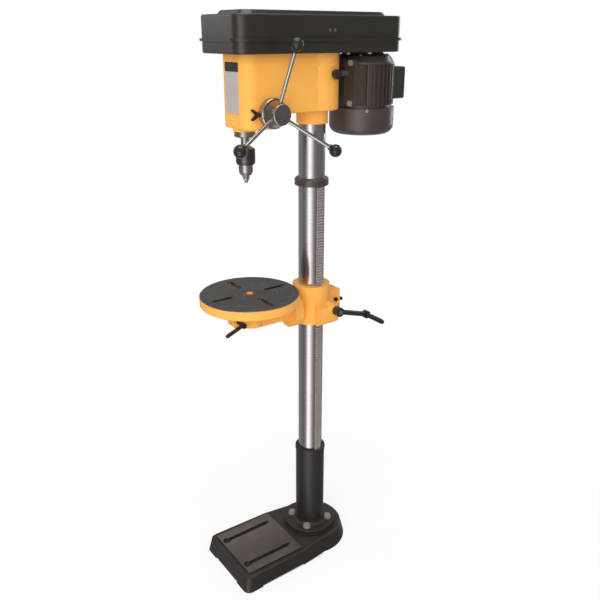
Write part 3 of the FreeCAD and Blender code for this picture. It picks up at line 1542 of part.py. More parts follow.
def guard_lid():
    sides = guard_block(0, (lid_bottom, lid_side_top))
    sides = sides.makeFillet(lid_edge_fillet, level_edges(sides, lid_side_top))
    crown = lid_crown(lid_step, lid_side_top - guard_wall, lid_top)
    crown = crown.makeFillet(lid_crown_fillet, level_edges(crown, lid_top))
    lip = guard_block(-guard_lip, (lid_bottom, lid_bottom + guard_lip_height))
    room = guard_block(guard_wall, (lid_bottom - 1, lid_side_top - guard_wall))
    crown_room = lid_crown(lid_step + guard_wall, lid_side_top - guard_wall - 1,
                           lid_top - guard_wall)
    shell = less(joined(sides, crown, lip), room, crown_room)
    parts = [shell]
    length = hinge_leaf_length / 2
    hinge_span = 2 * (hinge_leaf_length + body_gap + cut_margin)
    for y in hinge_places:
        for side in (-1, 1):
            middle = y + side * (hinge_leaf_length / 2 + body_gap + length / 2)
            leaf = block((hinge_x, -guard_half_width + guard_wall / 2),
                         (middle - length / 2, middle + length / 2),
                         (lid_bottom + body_gap, lid_bottom + guard_lip_height))
            parts.append(joined(knuckle(middle, length, hinge_knuckle_radius), leaf))
    lid = joined(*parts)
    bores = [knuckle(y, hinge_span, hinge_pin_radius + running_gap) for y in hinge_places]
    under = []
    for y in hinge_places:
        half = hinge_leaf_length / 2 + body_gap
        reach = hinge_knuckle_radius + body_gap
        under.append(block((hinge_x - reach, hinge_x + reach), (y - half, y + half),
                           (hinge_z - reach, hinge_z + reach)))
    return less(lid, *bores, *under)


def hinge_pins():
    pins = []
    for y in hinge_places:
        length = 2 * hinge_leaf_length + 2 * body_gap
        pins.append(knuckle(y, length, hinge_pin_radius))
    return pins


# ================= pulleys and belts =================

def step_height(level):
    return pulley_bottom + pulley_step * (level + 0.5)


def cone_pulley(steps, bore, y):
    """A stepped V pulley, its steps listed from the bottom up."""
    profile = [(bore, pulley_bottom)]
    for level, radius in enumerate(steps):
        low = pulley_bottom + pulley_step * level
        high = low + pulley_step
        middle = step_height(level)
        profile += [(radius, low), (radius, middle - groove_half_width),
                    (radius - groove_depth, middle - groove_half_bottom),
                    (radius - groove_depth, middle + groove_half_bottom),
                    (radius, middle + groove_half_width), (radius, high)]
    profile.append((bore, pulley_top))
    return turned(profile, V(0, y, 0))


def belt_loop(first_y, first_radius, second_y, second_radius, z):
    """The outline of a belt round two pulleys whose centres lie on Y."""
    span = second_y - first_y
    lean = math.asin((first_radius - second_radius) / span)
    side = V(math.cos(lean), math.sin(lean), 0)
    mirror = V(-side.x, side.y, 0)
    first = V(0, first_y, z)
    second = V(0, second_y, z)
    a, b = first + side * first_radius, second + side * second_radius
    c, d = second + mirror * second_radius, first + mirror * first_radius
    return Part.Wire([
        Part.makeLine(a, b),
        Part.Arc(b, second + Y_AXIS * second_radius, c).toShape(),
        Part.makeLine(c, d),
        Part.Arc(d, first - Y_AXIS * first_radius, a).toShape()])


def belt(first_y, first_step, second_y, second_step, level):
    z = step_height(level) - belt_half_height
    outer = Part.Face(belt_loop(first_y, first_step - belt_inset, second_y,
                                second_step - belt_inset, z))
    inset = belt_inset + belt_thickness
    inner = Part.Face(belt_loop(first_y, first_step - inset, second_y, second_step - inset, z))
    return outer.cut(inner).extrude(V(0, 0, 2 * belt_half_height))


def drive_sleeve():
    low, high = sleeve_bottom, sleeve_top
    body = vertical(sleeve_radius, low, high, 0, spindle_y)
    collar = vertical(sleeve_radius + sleeve_collar_extra, head_top - sleeve_collar_seat,
                      pulley_bottom, 0, spindle_y)
    thread_nut = hexagon(sleeve_nut_flats, V(0, spindle_y, pulley_top), Z_AXIS,
                         sleeve_nut_height)
    bore = spline_section(spline_minor_radius + running_gap, spline_major_radius + body_gap,
                          spline_width + 2 * running_gap, low - 1, high + 1)
    relief = vertical(spindle_radius + 1, low - 1, low + sleeve_relief_depth, 0, spindle_y)
    return less(joined(body, collar, thread_nut), bore, relief)


def pulley_bearings():
    inner = sleeve_radius + running_gap
    low = pulley_bearing_bottom
    return Part.makeCompound([
        ring_bearing(pulley_bearing_radius, inner, low, pulley_bearing_height),
        ring_bearing(pulley_bearing_radius, inner, low + pulley_bearing_height + 1,
                     pulley_bearing_height)])


def idler_arm():
    low = idler_arm_bottom
    high = low + idler_arm_thickness
    pivot = V(idler_pivot_x, idler_pivot_y, 0)
    post = vertical(idler_post_radius, sleeve_bottom + idler_post_lift, high, pivot.x, pivot.y)
    ends = [vertical(idler_arm_radius, low, high, pivot.x, pivot.y),
            vertical(idler_arm_radius, low, high, 0, idler_y)]
    along = V(-pivot.x, idler_y - pivot.y, 0).normalize()
    across = V(-along.y, along.x, 0) * idler_arm_radius
    start = pivot + V(0, 0, low)
    end = V(0, idler_y, low)
    bar = prism([start + across, end + across, end - across, start - across],
                V(0, 0, idler_arm_thickness))
    pin_top = pulley_top + idler_washer_top
    pin = vertical(idler_pin_radius, low, pin_top, 0, idler_y)
    washer = vertical(idler_pin_radius + idler_washer_extra, pulley_top + face_gap, pin_top,
                      0, idler_y)
    return joined(post, bar, pin, washer, *ends)


# ================= motor =================

def motor_tube(radius, low, high):
    return vertical(radius, low, high, 0, motor_y)


def behind_plate(shape):
    """Trims a motor shape to what lies behind its mounting plate."""
    rear = plate_front_y + plate_thickness
    half = motor_fin_radius + cut_margin
    return shape.cut(block((-half, half), (motor_y - half, rear), (motor_bottom - 1, bell_top + 1)))


def motor_housing():
    core = motor_tube(motor_core_radius, motor_bottom, motor_body_top)
    fins = []
    fin = block((0, motor_fin_radius), (-motor_fin_thickness / 2, motor_fin_thickness / 2),
                (motor_bottom + motor_fin_lift, motor_body_top))
    for number in range(motor_fin_count):
        copy = fin.copy()
        copy.rotate(V(0, 0, 0), Z_AXIS, number * 360 / motor_fin_count)
        copy.translate(V(0, motor_y, 0))
        fins.append(copy)
    rear = plate_front_y + plate_thickness
    saddle = block((-saddle_half_width, saddle_half_width), (rear, motor_y - saddle_depth),
                   (motor_bottom + saddle_lift, motor_body_top))
    bed = block((-box_half_width + box_wall, box_half_width - box_wall),
                (motor_y + motor_bore_radius + 1, box_seat_y),
                (box_bottom + box_wall, box_top - box_wall))
    body = joined(core, saddle, bed, *fins)
    room = motor_tube(motor_bore_radius, motor_bottom + motor_end_plate, motor_body_top + 1)
    shaft_hole = motor_tube(motor_shaft_radius + running_gap, motor_bottom - 1, motor_body_top)
    holes = []
    for side in (1, -1):
        for z in motor_bolt_rows:
            holes.append(along_y(motor_bolt_radius + running_gap, rear - 1,
                                 rear + motor_bolt_length, side * motor_bolt_x, z))
    return less(behind_plate(body), room, shaft_hole, *holes)


def motor_end_bell():
    low, high = motor_body_top, bell_top
    profile = [(motor_shaft_radius + running_gap, low), (bell_radius, low),
               (bell_radius, low + bell_rim), (bell_crown_radius, high - bell_crown_drop),
               (bell_dome_radius, high - bell_dome_drop),
               (bell_dome_radius - bell_dome_drop, high),
               (motor_shaft_radius + running_gap, high)]
    bell = turned(profile, V(0, motor_y, 0))
    return behind_plate(bell)


def fan_cover():
    outer = motor_tube(fan_cover_radius, fan_cover_bottom, fan_cover_top)
    outer = outer.makeFillet(fan_cover_round, level_edges(outer, fan_cover_bottom))
    wall = fan_cover_wall
    inner = motor_tube(fan_cover_radius - wall, fan_cover_bottom + wall, fan_cover_top + 1)
    inner = inner.makeFillet(fan_cover_round - wall,
                             level_edges(inner, fan_cover_bottom + wall))
    slots = []
    for radius in fan_slot_rings:
        for number in range(fan_slot_count):
            turn = 2 * math.pi * number / fan_slot_count
            outward = V(math.cos(turn), math.sin(turn), 0)
            start = V(0, motor_y, fan_cover_bottom - 1) + outward * (radius - fan_slot_half_length)
            way = outward * 2 * fan_slot_half_length
            across = V(-outward.y, outward.x, 0) * fan_slot_half_width
            slots.append(prism([start + across, start + way + across, start + way - across,
                                start - across], V(0, 0, wall + 2)))
    rim_low = fan_cover_top - fan_cover_rim
    rim = motor_tube(fan_cover_radius - wall / 2, rim_low, fan_cover_top).cut(
        motor_tube(motor_core_radius - fan_cover_rim_width, rim_low - 1, fan_cover_top + 1))
    return joined(outer.cut(inner), rim).cut(Part.makeCompound(slots))


def motor_fan():
    low, high = fan_bottom, fan_bottom + fan_height
    hub = motor_tube(fan_hub_radius, low, high)
    disc = motor_tube(fan_radius, high - fan_disc_thickness, high)
    blades = []
    blade = block((fan_blade_start, fan_radius), (-1, 1), (low, high - 1))
    for number in range(fan_blades):
        copy = blade.copy()
        copy.rotate(V(0, 0, 0), Z_AXIS, number * 360 / fan_blades)
        copy.translate(V(0, motor_y, 0))
        blades.append(copy)
    return joined(hub, disc, *blades).cut(motor_tube(motor_shaft_radius, low - 1, high + 1))


def motor_shaft():
    shaft = motor_tube(motor_shaft_radius, motor_shaft_bottom, pulley_top + motor_shaft_stand)
    rotor = motor_tube(rotor_radius, rotor_bottom, rotor_top)
    return joined(shaft, rotor)


def motor_plate():
    rear = plate_front_y + plate_thickness
    plate = block((-plate_half_width, plate_half_width), (plate_front_y, rear),
                  (plate_bottom, plate_top))
    plate = plate.makeFillet(plate_corner, edges_at(plate, lambda box: (
        box.YLength > plate_thickness - 1e-3 and box.XLength < 1e-3 and box.ZLength < 1e-3)))
    half = plate_rib_width / 2
    ribs = [block((x - half, x + half), (plate_front_y - plate_rib_depth, rear - 1),
                  (plate_bottom + plate_rib_inset, plate_top - plate_rib_inset))
            for x in (plate_rib_x, -plate_rib_x)]
    plate = joined(plate, *ribs)
    cuts = [along_y(slide_bar_radius, plate_front_y - plate_rib_depth - 1, rear + 1, x,
                    slide_bar_z) for x in slide_bar_places()]
    for side in (1, -1):
        for z in motor_bolt_rows:
            cuts.append(along_y(motor_bolt_radius + bolt_gap, plate_front_y - 1, rear + 1,
                                side * motor_bolt_x, z))
    return less(plate, *cuts)


def slide_bars():
    rear = plate_front_y + plate_thickness
    return [along_y(slide_bar_radius, slide_bar_front, rear, x, slide_bar_z)
            for x in slide_bar_places()]


def motor_bolts():
    bolts = []
    for side in (1, -1):
        for z in motor_bolt_rows:
            bolts.append(bolt(V(side * motor_bolt_x, plate_front_y, z), -Y_AXIS,
                              motor_bolt_flats, motor_bolt_head, motor_bolt_radius,
                              plate_thickness + motor_bolt_length - 1))
    return bolts


def tension_knob():
    tip = slide_bar_x + slide_bar_radius + face_gap
    wall = math.sqrt(head_rear_radius ** 2 - max(0.0, knob_y - knob_radius) ** 2) + body_gap
    screw = along_x(knob_screw_radius, tip, wall + knob_screw_overlap, knob_y, slide_bar_z)
    grip = along_x(knob_radius, wall, wall + knob_length, knob_y, slide_bar_z)
    grip = grip.makeFillet(knob_fillet, [edge for edge in grip.Edges
                                 if isinstance(edge.Curve, Part.Circle)])
    flutes = []
    circle = knob_radius + knob_flute_offset
    for number in range(knob_flutes):
        turn = 2 * math.pi * number / knob_flutes
        flutes.append(along_x(knob_flute_radius, wall - 1, wall + knob_length + 1,
                              knob_y + circle * math.cos(turn),
                              slide_bar_z + circle * math.sin(turn)))
    return joined(grip.cut(Part.makeCompound(flutes)), screw)


def terminal_box():
    box = block((-box_half_width, box_half_width), (box_front, box_rear), (box_bottom, box_top))
    box = box.makeFillet(box_fillet, edges_at(box, lambda edge: edge.YMin > box_rear - 1e-3
                                              or edge.YLength > box_wall))
    lid_line = box_rear - box_lid_depth
    groove = block((-box_half_width - 1, box_half_width + 1), (lid_line - 1, lid_line + 1),
                   (box_bottom - 1, box_top + 1)).cut(
        block((-box_half_width + 1, box_half_width - 1), (lid_line - 2, lid_line + 2),
              (box_bottom + 1, box_top - 1)))
    room = block((-box_half_width + box_wall, box_half_width - box_wall),
                 (box_front - 1, box_rear - box_wall),
                 (box_bottom + box_wall, box_top - box_wall))
    gland_seat = along_x(gland_radius - gland_neck_inset, -box_half_width - 1,
                         -box_half_width + gland_neck_length, gland_y, gland_z)
    motor_side = motor_tube(motor_fin_radius + body_gap, box_bottom - 1, box_top + 1)
    return less(box, groove, room, gland_seat, motor_side)


def cable_gland():
    wall = -box_half_width
    end = wall - gland_length
    neck = gland_radius - gland_neck_inset
    nut = hexagon(gland_radius * 2, V(wall, gland_y, gland_z), -X_AXIS, gland_nut_height)
    cone = turned([(gland_hole_radius, end), (gland_hole_radius + gland_nose_wall, end),
                   (gland_radius - 1, end + gland_nose_taper),
                   (gland_radius - 1, wall - gland_neck_start), (neck, wall - gland_neck_start),
                   (neck, wall + gland_neck_length), (gland_hole_radius, wall + gland_neck_length)],
                  V(0, gland_y, gland_z), X_AXIS)
    nut_hole = along_x(gland_hole_radius, end, wall + 1, gland_y, gland_z)
    return joined(cone, nut.cut(nut_hole))


# ================= switch =================

def switch_box():
    outer_x = -head_half_width - switch_depth
    box = block((outer_x, -head_half_width), (switch_front, switch_rear),
                (switch_bottom, switch_top))
    box = box.makeFillet(switch_fillet, edges_at(box, lambda edge: (
        edge.XMax < outer_x + 1e-3 or edge.XLength > switch_wall)))
    wall = switch_wall
    room = block((outer_x + wall, -head_half_width + 1), (switch_front + wall, switch_rear - wall),
                 (switch_bottom + wall, switch_top - wall))
    middle = (switch_front + switch_rear) / 2
    holes = [along_x(button_radius + body_gap, outer_x - 1, outer_x + wall + 1, middle, z)
             for z in (start_button_z, stop_button_z)]
    return less(box, room, *holes)


def push_button(z):
    outer_x = -head_half_width - switch_depth - button_stand
    middle = (switch_front + switch_rear) / 2
    cap = along_x(button_radius, outer_x, outer_x + button_length, middle, z)
    return cap.makeFillet(button_edge, edges_at(cap, lambda edge: edge.XMax < outer_x + 1e-3))


# ================= all the pieces =================

pieces = {
    "base_casting": base_casting(),
    "column_support": column_support(),
    "support_bolts": support_bolts(),
    "column_tube": column_tube(),
    "rack_collar": rack_collar(),
    "set_screws": set_screws(),
    "table_rack": table_rack(),
    "table_bracket": table_bracket(),
    "pinion_shaft": pinion_shaft(),
    "worm_shaft": worm_shaft(),
    "crank_arm": crank_arm(),
    "crank_grip": crank_grip(),
    "column_clamp_lever": column_clamp_lever(),
    "table_arm": table_arm(),
    "tilt_bolt": tilt_bolt(),
    "work_table": work_table(),
    "table_clamp_lever": table_clamp_lever(),
    "head_casting": head_casting(),
    "quill": quill(),
    "quill_bearings": quill_bearings(),
    "spindle": spindle(),
    "chuck_body": chuck_body(),
    "chuck_sleeve": chuck_sleeve(),
    "feed_shaft": feed_shaft(),
    "feed_hub": feed_hub(),
    "feed_rods": Part.makeCompound(feed_rods()),
    "feed_knobs": Part.makeCompound(feed_knobs()),
    "depth_ring": depth_ring(),
    "depth_lock_screw": depth_lock_screw(),
    "spring_housing": spring_housing(),
    "return_spring": return_spring(),
    "guard_pan": guard_pan(),
    "pan_bolts": pan_bolts(),
    "guard_lid": guard_lid(),
    "hinge_pins": Part.makeCompound(hinge_pins()),
    "drive_sleeve": drive_sleeve(),
    "spindle_pulley": cone_pulley(spindle_steps, sleeve_radius, spindle_y),
    "pulley_bearings": pulley_bearings(),
    "idler_arm": idler_arm(),
    "idler_pulley": cone_pulley(idler_steps, idler_pin_radius + running_gap, idler_y),
    "motor_pulley": cone_pulley(motor_steps, motor_shaft_radius, motor_y),
    "belt_front": belt(spindle_y, spindle_steps[front_belt_level], idler_y,
                       idler_steps[front_belt_level], front_belt_level),
    "belt_rear": belt(idler_y, idler_steps[rear_belt_level], motor_y,
                      motor_steps[rear_belt_level], rear_belt_level),
    "motor_plate": motor_plate(),
    "slide_bars": Part.makeCompound(slide_bars()),
    "motor_bolts": Part.makeCompound(motor_bolts()),
    "motor_housing": motor_housing(),
    "motor_end_bell": motor_end_bell(),
    "fan_cover": fan_cover(),
    "motor_fan": motor_fan(),
    "motor_shaft": motor_shaft(),
    "terminal_box": terminal_box(),
    "cable_gland": cable_gland(),
    "tension_knob": tension_knob(),
    "switch_box": switch_box(),
    "start_button": push_button(start_button_z),
    "stop_button": push_button(stop_button_z),
}
for number, turn in enumerate(jaw_turns()):
    pieces[f"chuck_jaw_{number + 1}"] = chuck_jaw(turn)

os.makedirs("parts", exist_ok=True)
for name, shape in pieces.items():
    shape.exportStep(f"parts/{name}.step")
    print(f"{name:22s} solids {len(shape.Solids)}  valid {shape.isValid()}"
          f"  volume {shape.Volume / 1000:9.2f} cm3  faces {len(shape.Faces)}")
print(len(pieces), "pieces")
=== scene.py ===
# Floor-standing drill press: finishes, small fittings, light and camera. In metres.
import json
import math

import bmesh
import bpy
from mathutils import Matrix, Vector


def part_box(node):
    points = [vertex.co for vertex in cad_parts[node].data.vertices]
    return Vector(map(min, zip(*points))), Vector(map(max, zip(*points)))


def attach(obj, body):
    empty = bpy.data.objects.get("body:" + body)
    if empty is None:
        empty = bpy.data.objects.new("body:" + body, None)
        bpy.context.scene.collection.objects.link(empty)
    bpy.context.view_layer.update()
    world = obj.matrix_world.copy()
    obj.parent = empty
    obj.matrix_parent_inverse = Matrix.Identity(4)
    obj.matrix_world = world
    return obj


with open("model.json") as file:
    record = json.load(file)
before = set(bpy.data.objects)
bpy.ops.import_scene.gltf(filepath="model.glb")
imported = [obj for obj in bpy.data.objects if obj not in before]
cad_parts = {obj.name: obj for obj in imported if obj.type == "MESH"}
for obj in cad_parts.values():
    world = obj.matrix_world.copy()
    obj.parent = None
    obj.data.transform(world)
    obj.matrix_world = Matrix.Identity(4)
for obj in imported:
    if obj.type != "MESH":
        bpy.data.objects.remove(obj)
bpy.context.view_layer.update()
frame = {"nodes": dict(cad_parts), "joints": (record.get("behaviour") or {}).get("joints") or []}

nodes = frame["nodes"]
jointPlace = {joint["name"]: joint.get("pos_m") for joint in frame["joints"]}
print("model loaded:", len(nodes), "nodes")


def addNode(tree, kind, x, y, **settings):
    node = tree.nodes.new(kind)
    node.location = (x, y)
    for key, value in settings.items():
        setattr(node, key, value)
    return node


def feed(tree, source, target):
    # source is a socket, or a plain value to set on target
    if isinstance(source, bpy.types.NodeSocket):
        tree.links.new(source, target)
    else:
        target.default_value = source


def doMath(tree, operation, first, second, x, y, clamp=False):
    node = addNode(tree, "ShaderNodeMath", x, y, operation=operation, use_clamp=clamp)
    feed(tree, first, node.inputs[0])
    feed(tree, second, node.inputs[1])
    return node.outputs[0]


def mixColours(tree, amount, first, second, x, y):
    node = addNode(tree, "ShaderNodeMix", x, y, data_type="RGBA")
    feed(tree, amount, node.inputs[0])
    feed(tree, first, node.inputs[6])
    feed(tree, second, node.inputs[7])
    return node.outputs[2]


def rescale(tree, value, low, high, newLow, newHigh, x, y):
    node = addNode(tree, "ShaderNodeMapRange", x, y)
    feed(tree, value, node.inputs[0])
    for number, setting in enumerate((low, high, newLow, newHigh)):
        feed(tree, setting, node.inputs[number + 1])
    return node.outputs[0]


def addNoise(tree, place, scale, detail, x, y, roughness=0.5):
    node = addNode(tree, "ShaderNodeTexNoise", x, y)
    feed(tree, place, node.inputs["Vector"])
    feed(tree, scale, node.inputs["Scale"])
    node.inputs["Detail"].default_value = detail
    node.inputs["Roughness"].default_value = roughness
    return node.outputs["Fac"]


def newGroup(name, inputs, outputs):
    group = bpy.data.node_groups.new(name, "ShaderNodeTree")
    for label, kind, value in inputs:
        socket = group.interface.new_socket(label, in_out="INPUT", socket_type=kind)
        socket.default_value = value
    for label, kind in outputs:
        group.interface.new_socket(label, in_out="OUTPUT", socket_type=kind)
    start = addNode(group, "NodeGroupInput", -900, 0)
    end = addNode(group, "NodeGroupOutput", 600, 0)
    return group, start, end


def placeGroup(tree, group, x, y, **values):
    node = addNode(tree, "ShaderNodeGroup", x, y, node_tree=group, label=group.name)
    for key, value in values.items():
        node.inputs[key].default_value = value
    return node


def buildMottle():
    # soft cloudy variation from 0 to 1
    group, start, end = newGroup("mottle", [("Scale", "NodeSocketFloat", 12.0)],
                                 [("Value", "NodeSocketFloat")])
    place = addNode(group, "ShaderNodeTexCoord", -700, 200)
    cloud = addNoise(group, place.outputs["Object"], start.outputs["Scale"], 5.0, -450, 200,
                     roughness=0.6)
    value = rescale(group, cloud, 0.3, 0.7, 0.0, 1.0, -150, 100)
    feed(group, value, end.inputs["Value"])
    return group


def buildEdgeWear():
    # finds sharp edges and breaks the mask up with patches
    group, start, end = newGroup("edgeWear", [
        ("Radius", "NodeSocketFloat", 0.002), ("Amount", "NodeSocketFloat", 1.0),
        ("Patches", "NodeSocketFloat", 90.0)], [("Mask", "NodeSocketFloat")])
    place = addNode(group, "ShaderNodeTexCoord", -700, 300)
    rounded = addNode(group, "ShaderNodeBevel", -650, 50, samples=4)
    feed(group, start.outputs["Radius"], rounded.inputs["Radius"])
    plain = addNode(group, "ShaderNodeNewGeometry", -650, -150)
    dot = addNode(group, "ShaderNodeVectorMath", -450, 0, operation="DOT_PRODUCT")
    feed(group, rounded.outputs["Normal"], dot.inputs[0])
    feed(group, plain.outputs["Normal"], dot.inputs[1])
    edge = rescale(group, dot.outputs["Value"], 0.97, 0.80, 0.0, 1.0, -250, 0)
    patch = addNoise(group, place.outputs["Object"], start.outputs["Patches"], 4.0, -450, 300)
    broken = rescale(group, patch, 0.45, 0.65, 0.0, 1.0, -250, 300)
    mask = doMath(group, "MULTIPLY", edge, broken, 0, 100)
    mask = doMath(group, "MULTIPLY", mask, start.outputs["Amount"], 200, 100, clamp=True)
    feed(group, mask, end.inputs["Mask"])
    return group


def buildDust():
    # settles on faces that look up
    group, start, end = newGroup("settledDust", [
        ("Amount", "NodeSocketFloat", 0.2), ("Scale", "NodeSocketFloat", 25.0)],
        [("Mask", "NodeSocketFloat")])
    place = addNode(group, "ShaderNodeTexCoord", -700, 200)
    shape = addNode(group, "ShaderNodeNewGeometry", -700, -100)
    split = addNode(group, "ShaderNodeSeparateXYZ", -500, -100)
    feed(group, shape.outputs["Normal"], split.inputs[0])
    up = rescale(group, split.outputs["Z"], 0.6, 1.0, 0.0, 1.0, -300, -100)
    speck = addNoise(group, place.outputs["Object"], start.outputs["Scale"], 6.0, -450, 200)
    patch = rescale(group, speck, 0.35, 0.75, 0.2, 1.0, -250, 200)
    mask = doMath(group, "MULTIPLY", up, patch, 0, 100)
    mask = doMath(group, "MULTIPLY", mask, start.outputs["Amount"], 200, 100, clamp=True)
    feed(group, mask, end.inputs["Mask"])
    return group


def buildCastSkin():
    # the faint lumps and grain of a sand casting, seen through its paint
    group, start, end = newGroup("castSkin", [
        ("Grain", "NodeSocketFloat", 700.0), ("Lumps", "NodeSocketFloat", 60.0),
        ("Lump Share", "NodeSocketFloat", 0.6)], [("Height", "NodeSocketFloat")])
    place = addNode(group, "ShaderNodeTexCoord", -700, 200)
    heights = []
    for row, label in enumerate(("Grain", "Lumps")):
        heights.append(addNoise(group, place.outputs["Object"], start.outputs[label], 3.0,
                                -450, 250 - 250 * row))
    lumps = doMath(group, "MULTIPLY", heights[1], start.outputs["Lump Share"], -150, 0)
    feed(group, doMath(group, "ADD", heights[0], lumps, 100, 100), end.inputs["Height"])
    return group


def buildTurnedLines():
    # fine rings round an axis, as a lathe or grinder leaves them
    group, start, end = newGroup("turnedLines", [
        ("Centre", "NodeSocketVector", (0.0, 0.0, 0.0)),
        ("Axis", "NodeSocketVector", (0.0, 0.0, 1.0)),
        ("Fineness", "NodeSocketFloat", 2500.0), ("Sweep", "NodeSocketFloat", 6.0)],
        [("Lines", "NodeSocketFloat")])
    place = addNode(group, "ShaderNodeTexCoord", -900, 300)
    shift = addNode(group, "ShaderNodeVectorMath", -700, 200, operation="SUBTRACT")
    feed(group, place.outputs["Object"], shift.inputs[0])
    feed(group, start.outputs["Centre"], shift.inputs[1])
    along = addNode(group, "ShaderNodeVectorMath", -500, 300, operation="DOT_PRODUCT")
    feed(group, shift.outputs[0], along.inputs[0])
    feed(group, start.outputs["Axis"], along.inputs[1])
    across = addNode(group, "ShaderNodeVectorMath", -500, 100, operation="CROSS_PRODUCT")
    feed(group, shift.outputs[0], across.inputs[0])
    feed(group, start.outputs["Axis"], across.inputs[1])
    radius = addNode(group, "ShaderNodeVectorMath", -320, 100, operation="LENGTH")
    feed(group, across.outputs[0], radius.inputs[0])
    sides = []
    for row, value in enumerate((along.outputs["Value"], radius.outputs["Value"])):
        sides.append(doMath(group, "MULTIPLY", value, start.outputs["Fineness"], -150,
                            300 - 200 * row))
    turn = addNode(group, "ShaderNodeVectorMath", -320, -150, operation="MULTIPLY")
    feed(group, shift.outputs[0], turn.inputs[0])
    sweep = addNode(group, "ShaderNodeCombineXYZ", -500, -250)
    for number in range(3):
        feed(group, start.outputs["Sweep"], sweep.inputs[number])
    feed(group, sweep.outputs[0], turn.inputs[1])
    rings = addNode(group, "ShaderNodeCombineXYZ", 20, 200)
    feed(group, sides[0], rings.inputs[0])
    feed(group, sides[1], rings.inputs[1])
    total = addNode(group, "ShaderNodeVectorMath", 180, 100, operation="ADD")
    feed(group, rings.outputs[0], total.inputs[0])
    feed(group, turn.outputs[0], total.inputs[1])
    grain = addNoise(group, total.outputs[0], 1.0, 2.0, 350, 100)
    feed(group, grain, end.inputs["Lines"])
    return group


def buildDrawnLines():
    # straight fine lines, stretched along whichever axis has the smallest number
    group, start, end = newGroup("drawnLines", [
        ("Stretch", "NodeSocketVector", (20.0, 1500.0, 1500.0))],
        [("Lines", "NodeSocketFloat")])
    place = addNode(group, "ShaderNodeTexCoord", -700, 200)
    scaled = addNode(group, "ShaderNodeVectorMath", -450, 200, operation="MULTIPLY")
    feed(group, place.outputs["Object"], scaled.inputs[0])
    feed(group, start.outputs["Stretch"], scaled.inputs[1])
    grain = addNoise(group, scaled.outputs[0], 1.0, 3.0, -200, 200)
    feed(group, grain, end.inputs["Lines"])
    return group


def buildScratches():
    # thin, short, random marks of use
    group, start, end = newGroup("fineScratches", [
        ("Scale", "NodeSocketFloat", 40.0), ("Width", "NodeSocketFloat", 0.012)],
        [("Mask", "NodeSocketFloat")])
    place = addNode(group, "ShaderNodeTexCoord", -900, 200)
    marks = []
    for row, turn in enumerate(((0.3, 0.1, 0.5), (0.9, 0.4, 2.1))):
        spin = addNode(group, "ShaderNodeMapping", -700, 250 - 350 * row)
        spin.inputs["Rotation"].default_value = turn
        spin.inputs["Scale"].default_value = (1.0, 0.12, 1.0)
        feed(group, place.outputs["Object"], spin.inputs["Vector"])
        cells = addNode(group, "ShaderNodeTexVoronoi", -480, 250 - 350 * row,
                        feature="DISTANCE_TO_EDGE")
        feed(group, spin.outputs[0], cells.inputs["Vector"])
        feed(group, start.outputs["Scale"], cells.inputs["Scale"])
        marks.append(rescale(group, cells.outputs["Distance"], start.outputs["Width"], 0.0,
                             0.0, 1.0, -250, 250 - 350 * row))
    feed(group, doMath(group, "MAXIMUM", marks[0], marks[1], 0, 100), end.inputs["Mask"])
    return group


mottle = buildMottle()
edgeWear = buildEdgeWear()
settledDust = buildDust()
castSkin = buildCastSkin()
turnedLines = buildTurnedLines()
drawnLines = buildDrawnLines()
fineScratches = buildScratches()
print("shader groups built")


def newMaterial(name, roughness, metallic=0.0, **fixed):
    material = bpy.data.materials.new(name)
    material.use_nodes = True
    tree = material.node_tree
    tree.nodes.clear()
    shader = addNode(tree, "ShaderNodeBsdfPrincipled", 600, 0)
    output = addNode(tree, "ShaderNodeOutputMaterial", 900, 0)
    feed(tree, shader.outputs[0], output.inputs[0])
    shader.inputs["Roughness"].default_value = roughness
    shader.inputs["Metallic"].default_value = metallic
    for key, value in fixed.items():
        shader.inputs[key.replace("_", " ")].default_value = value
    return material, tree, shader


def raiseSurface(tree, shader, height, distance, strength=1.0):
    bump = addNode(tree, "ShaderNodeBump", 350, -300)
    bump.inputs["Strength"].default_value = strength
    bump.inputs["Distance"].default_value = distance
    feed(tree, height, bump.inputs["Height"])
    feed(tree, bump.outputs[0], shader.inputs["Normal"])


def rgba(colour):
    return (colour[0], colour[1], colour[2], 1.0)


def cloudedColour(tree, look, x, y):
    # the cloud, and the finish's two colours mixed by it
    cloud = placeGroup(tree, mottle, x - 300, y, Scale=look["cloudScale"]).outputs[0]
    return cloud, mixColours(tree, cloud, rgba(look["colour"]), rgba(look["shade"]), x, y)


def coverSurface(tree, shader, look):
    # clouded colour with bare edges and dust, over a skin of fine lumps
    cloud, colour = cloudedColour(tree, look, -300, 300)
    wear = placeGroup(tree, edgeWear, -600, 50, Radius=look["wearRadius"], Amount=look["wear"])
    colour = mixColours(tree, wear.outputs[0], colour, rgba(look["bare"]), -50, 250)
    dust = placeGroup(tree, settledDust, -600, -150, Amount=look["dust"])
    colour = mixColours(tree, dust.outputs[0], colour, rgba(look["dustColour"]), 150, 200)
    feed(tree, colour, shader.inputs["Base Color"])
    rough = rescale(tree, cloud, 0.0, 1.0, look["roughness"] - look["smoother"],
                    look["roughness"] + look["rougher"], -100, 0)
    feed(tree, rough, shader.inputs["Roughness"])
    skin = placeGroup(tree, castSkin, -600, -350, Grain=look["grain"], Lumps=look["lumps"])
    raiseSurface(tree, shader, skin.outputs[0], look["relief"])


def makePaint(name, look):
    look = dict(paintBasics, **look)
    material, tree, shader = newMaterial(
        name, look["roughness"], Coat_Weight=look["coat"], Coat_Roughness=look["coatRoughness"],
        Specular_IOR_Level=look["specular"])
    coverSurface(tree, shader, look)
    return material


def makePlastic(name, look):
    look = dict(plasticBasics, **look)
    material, tree, shader = newMaterial(name, look["roughness"], IOR=look["ior"])
    coverSurface(tree, shader, look)
    return material


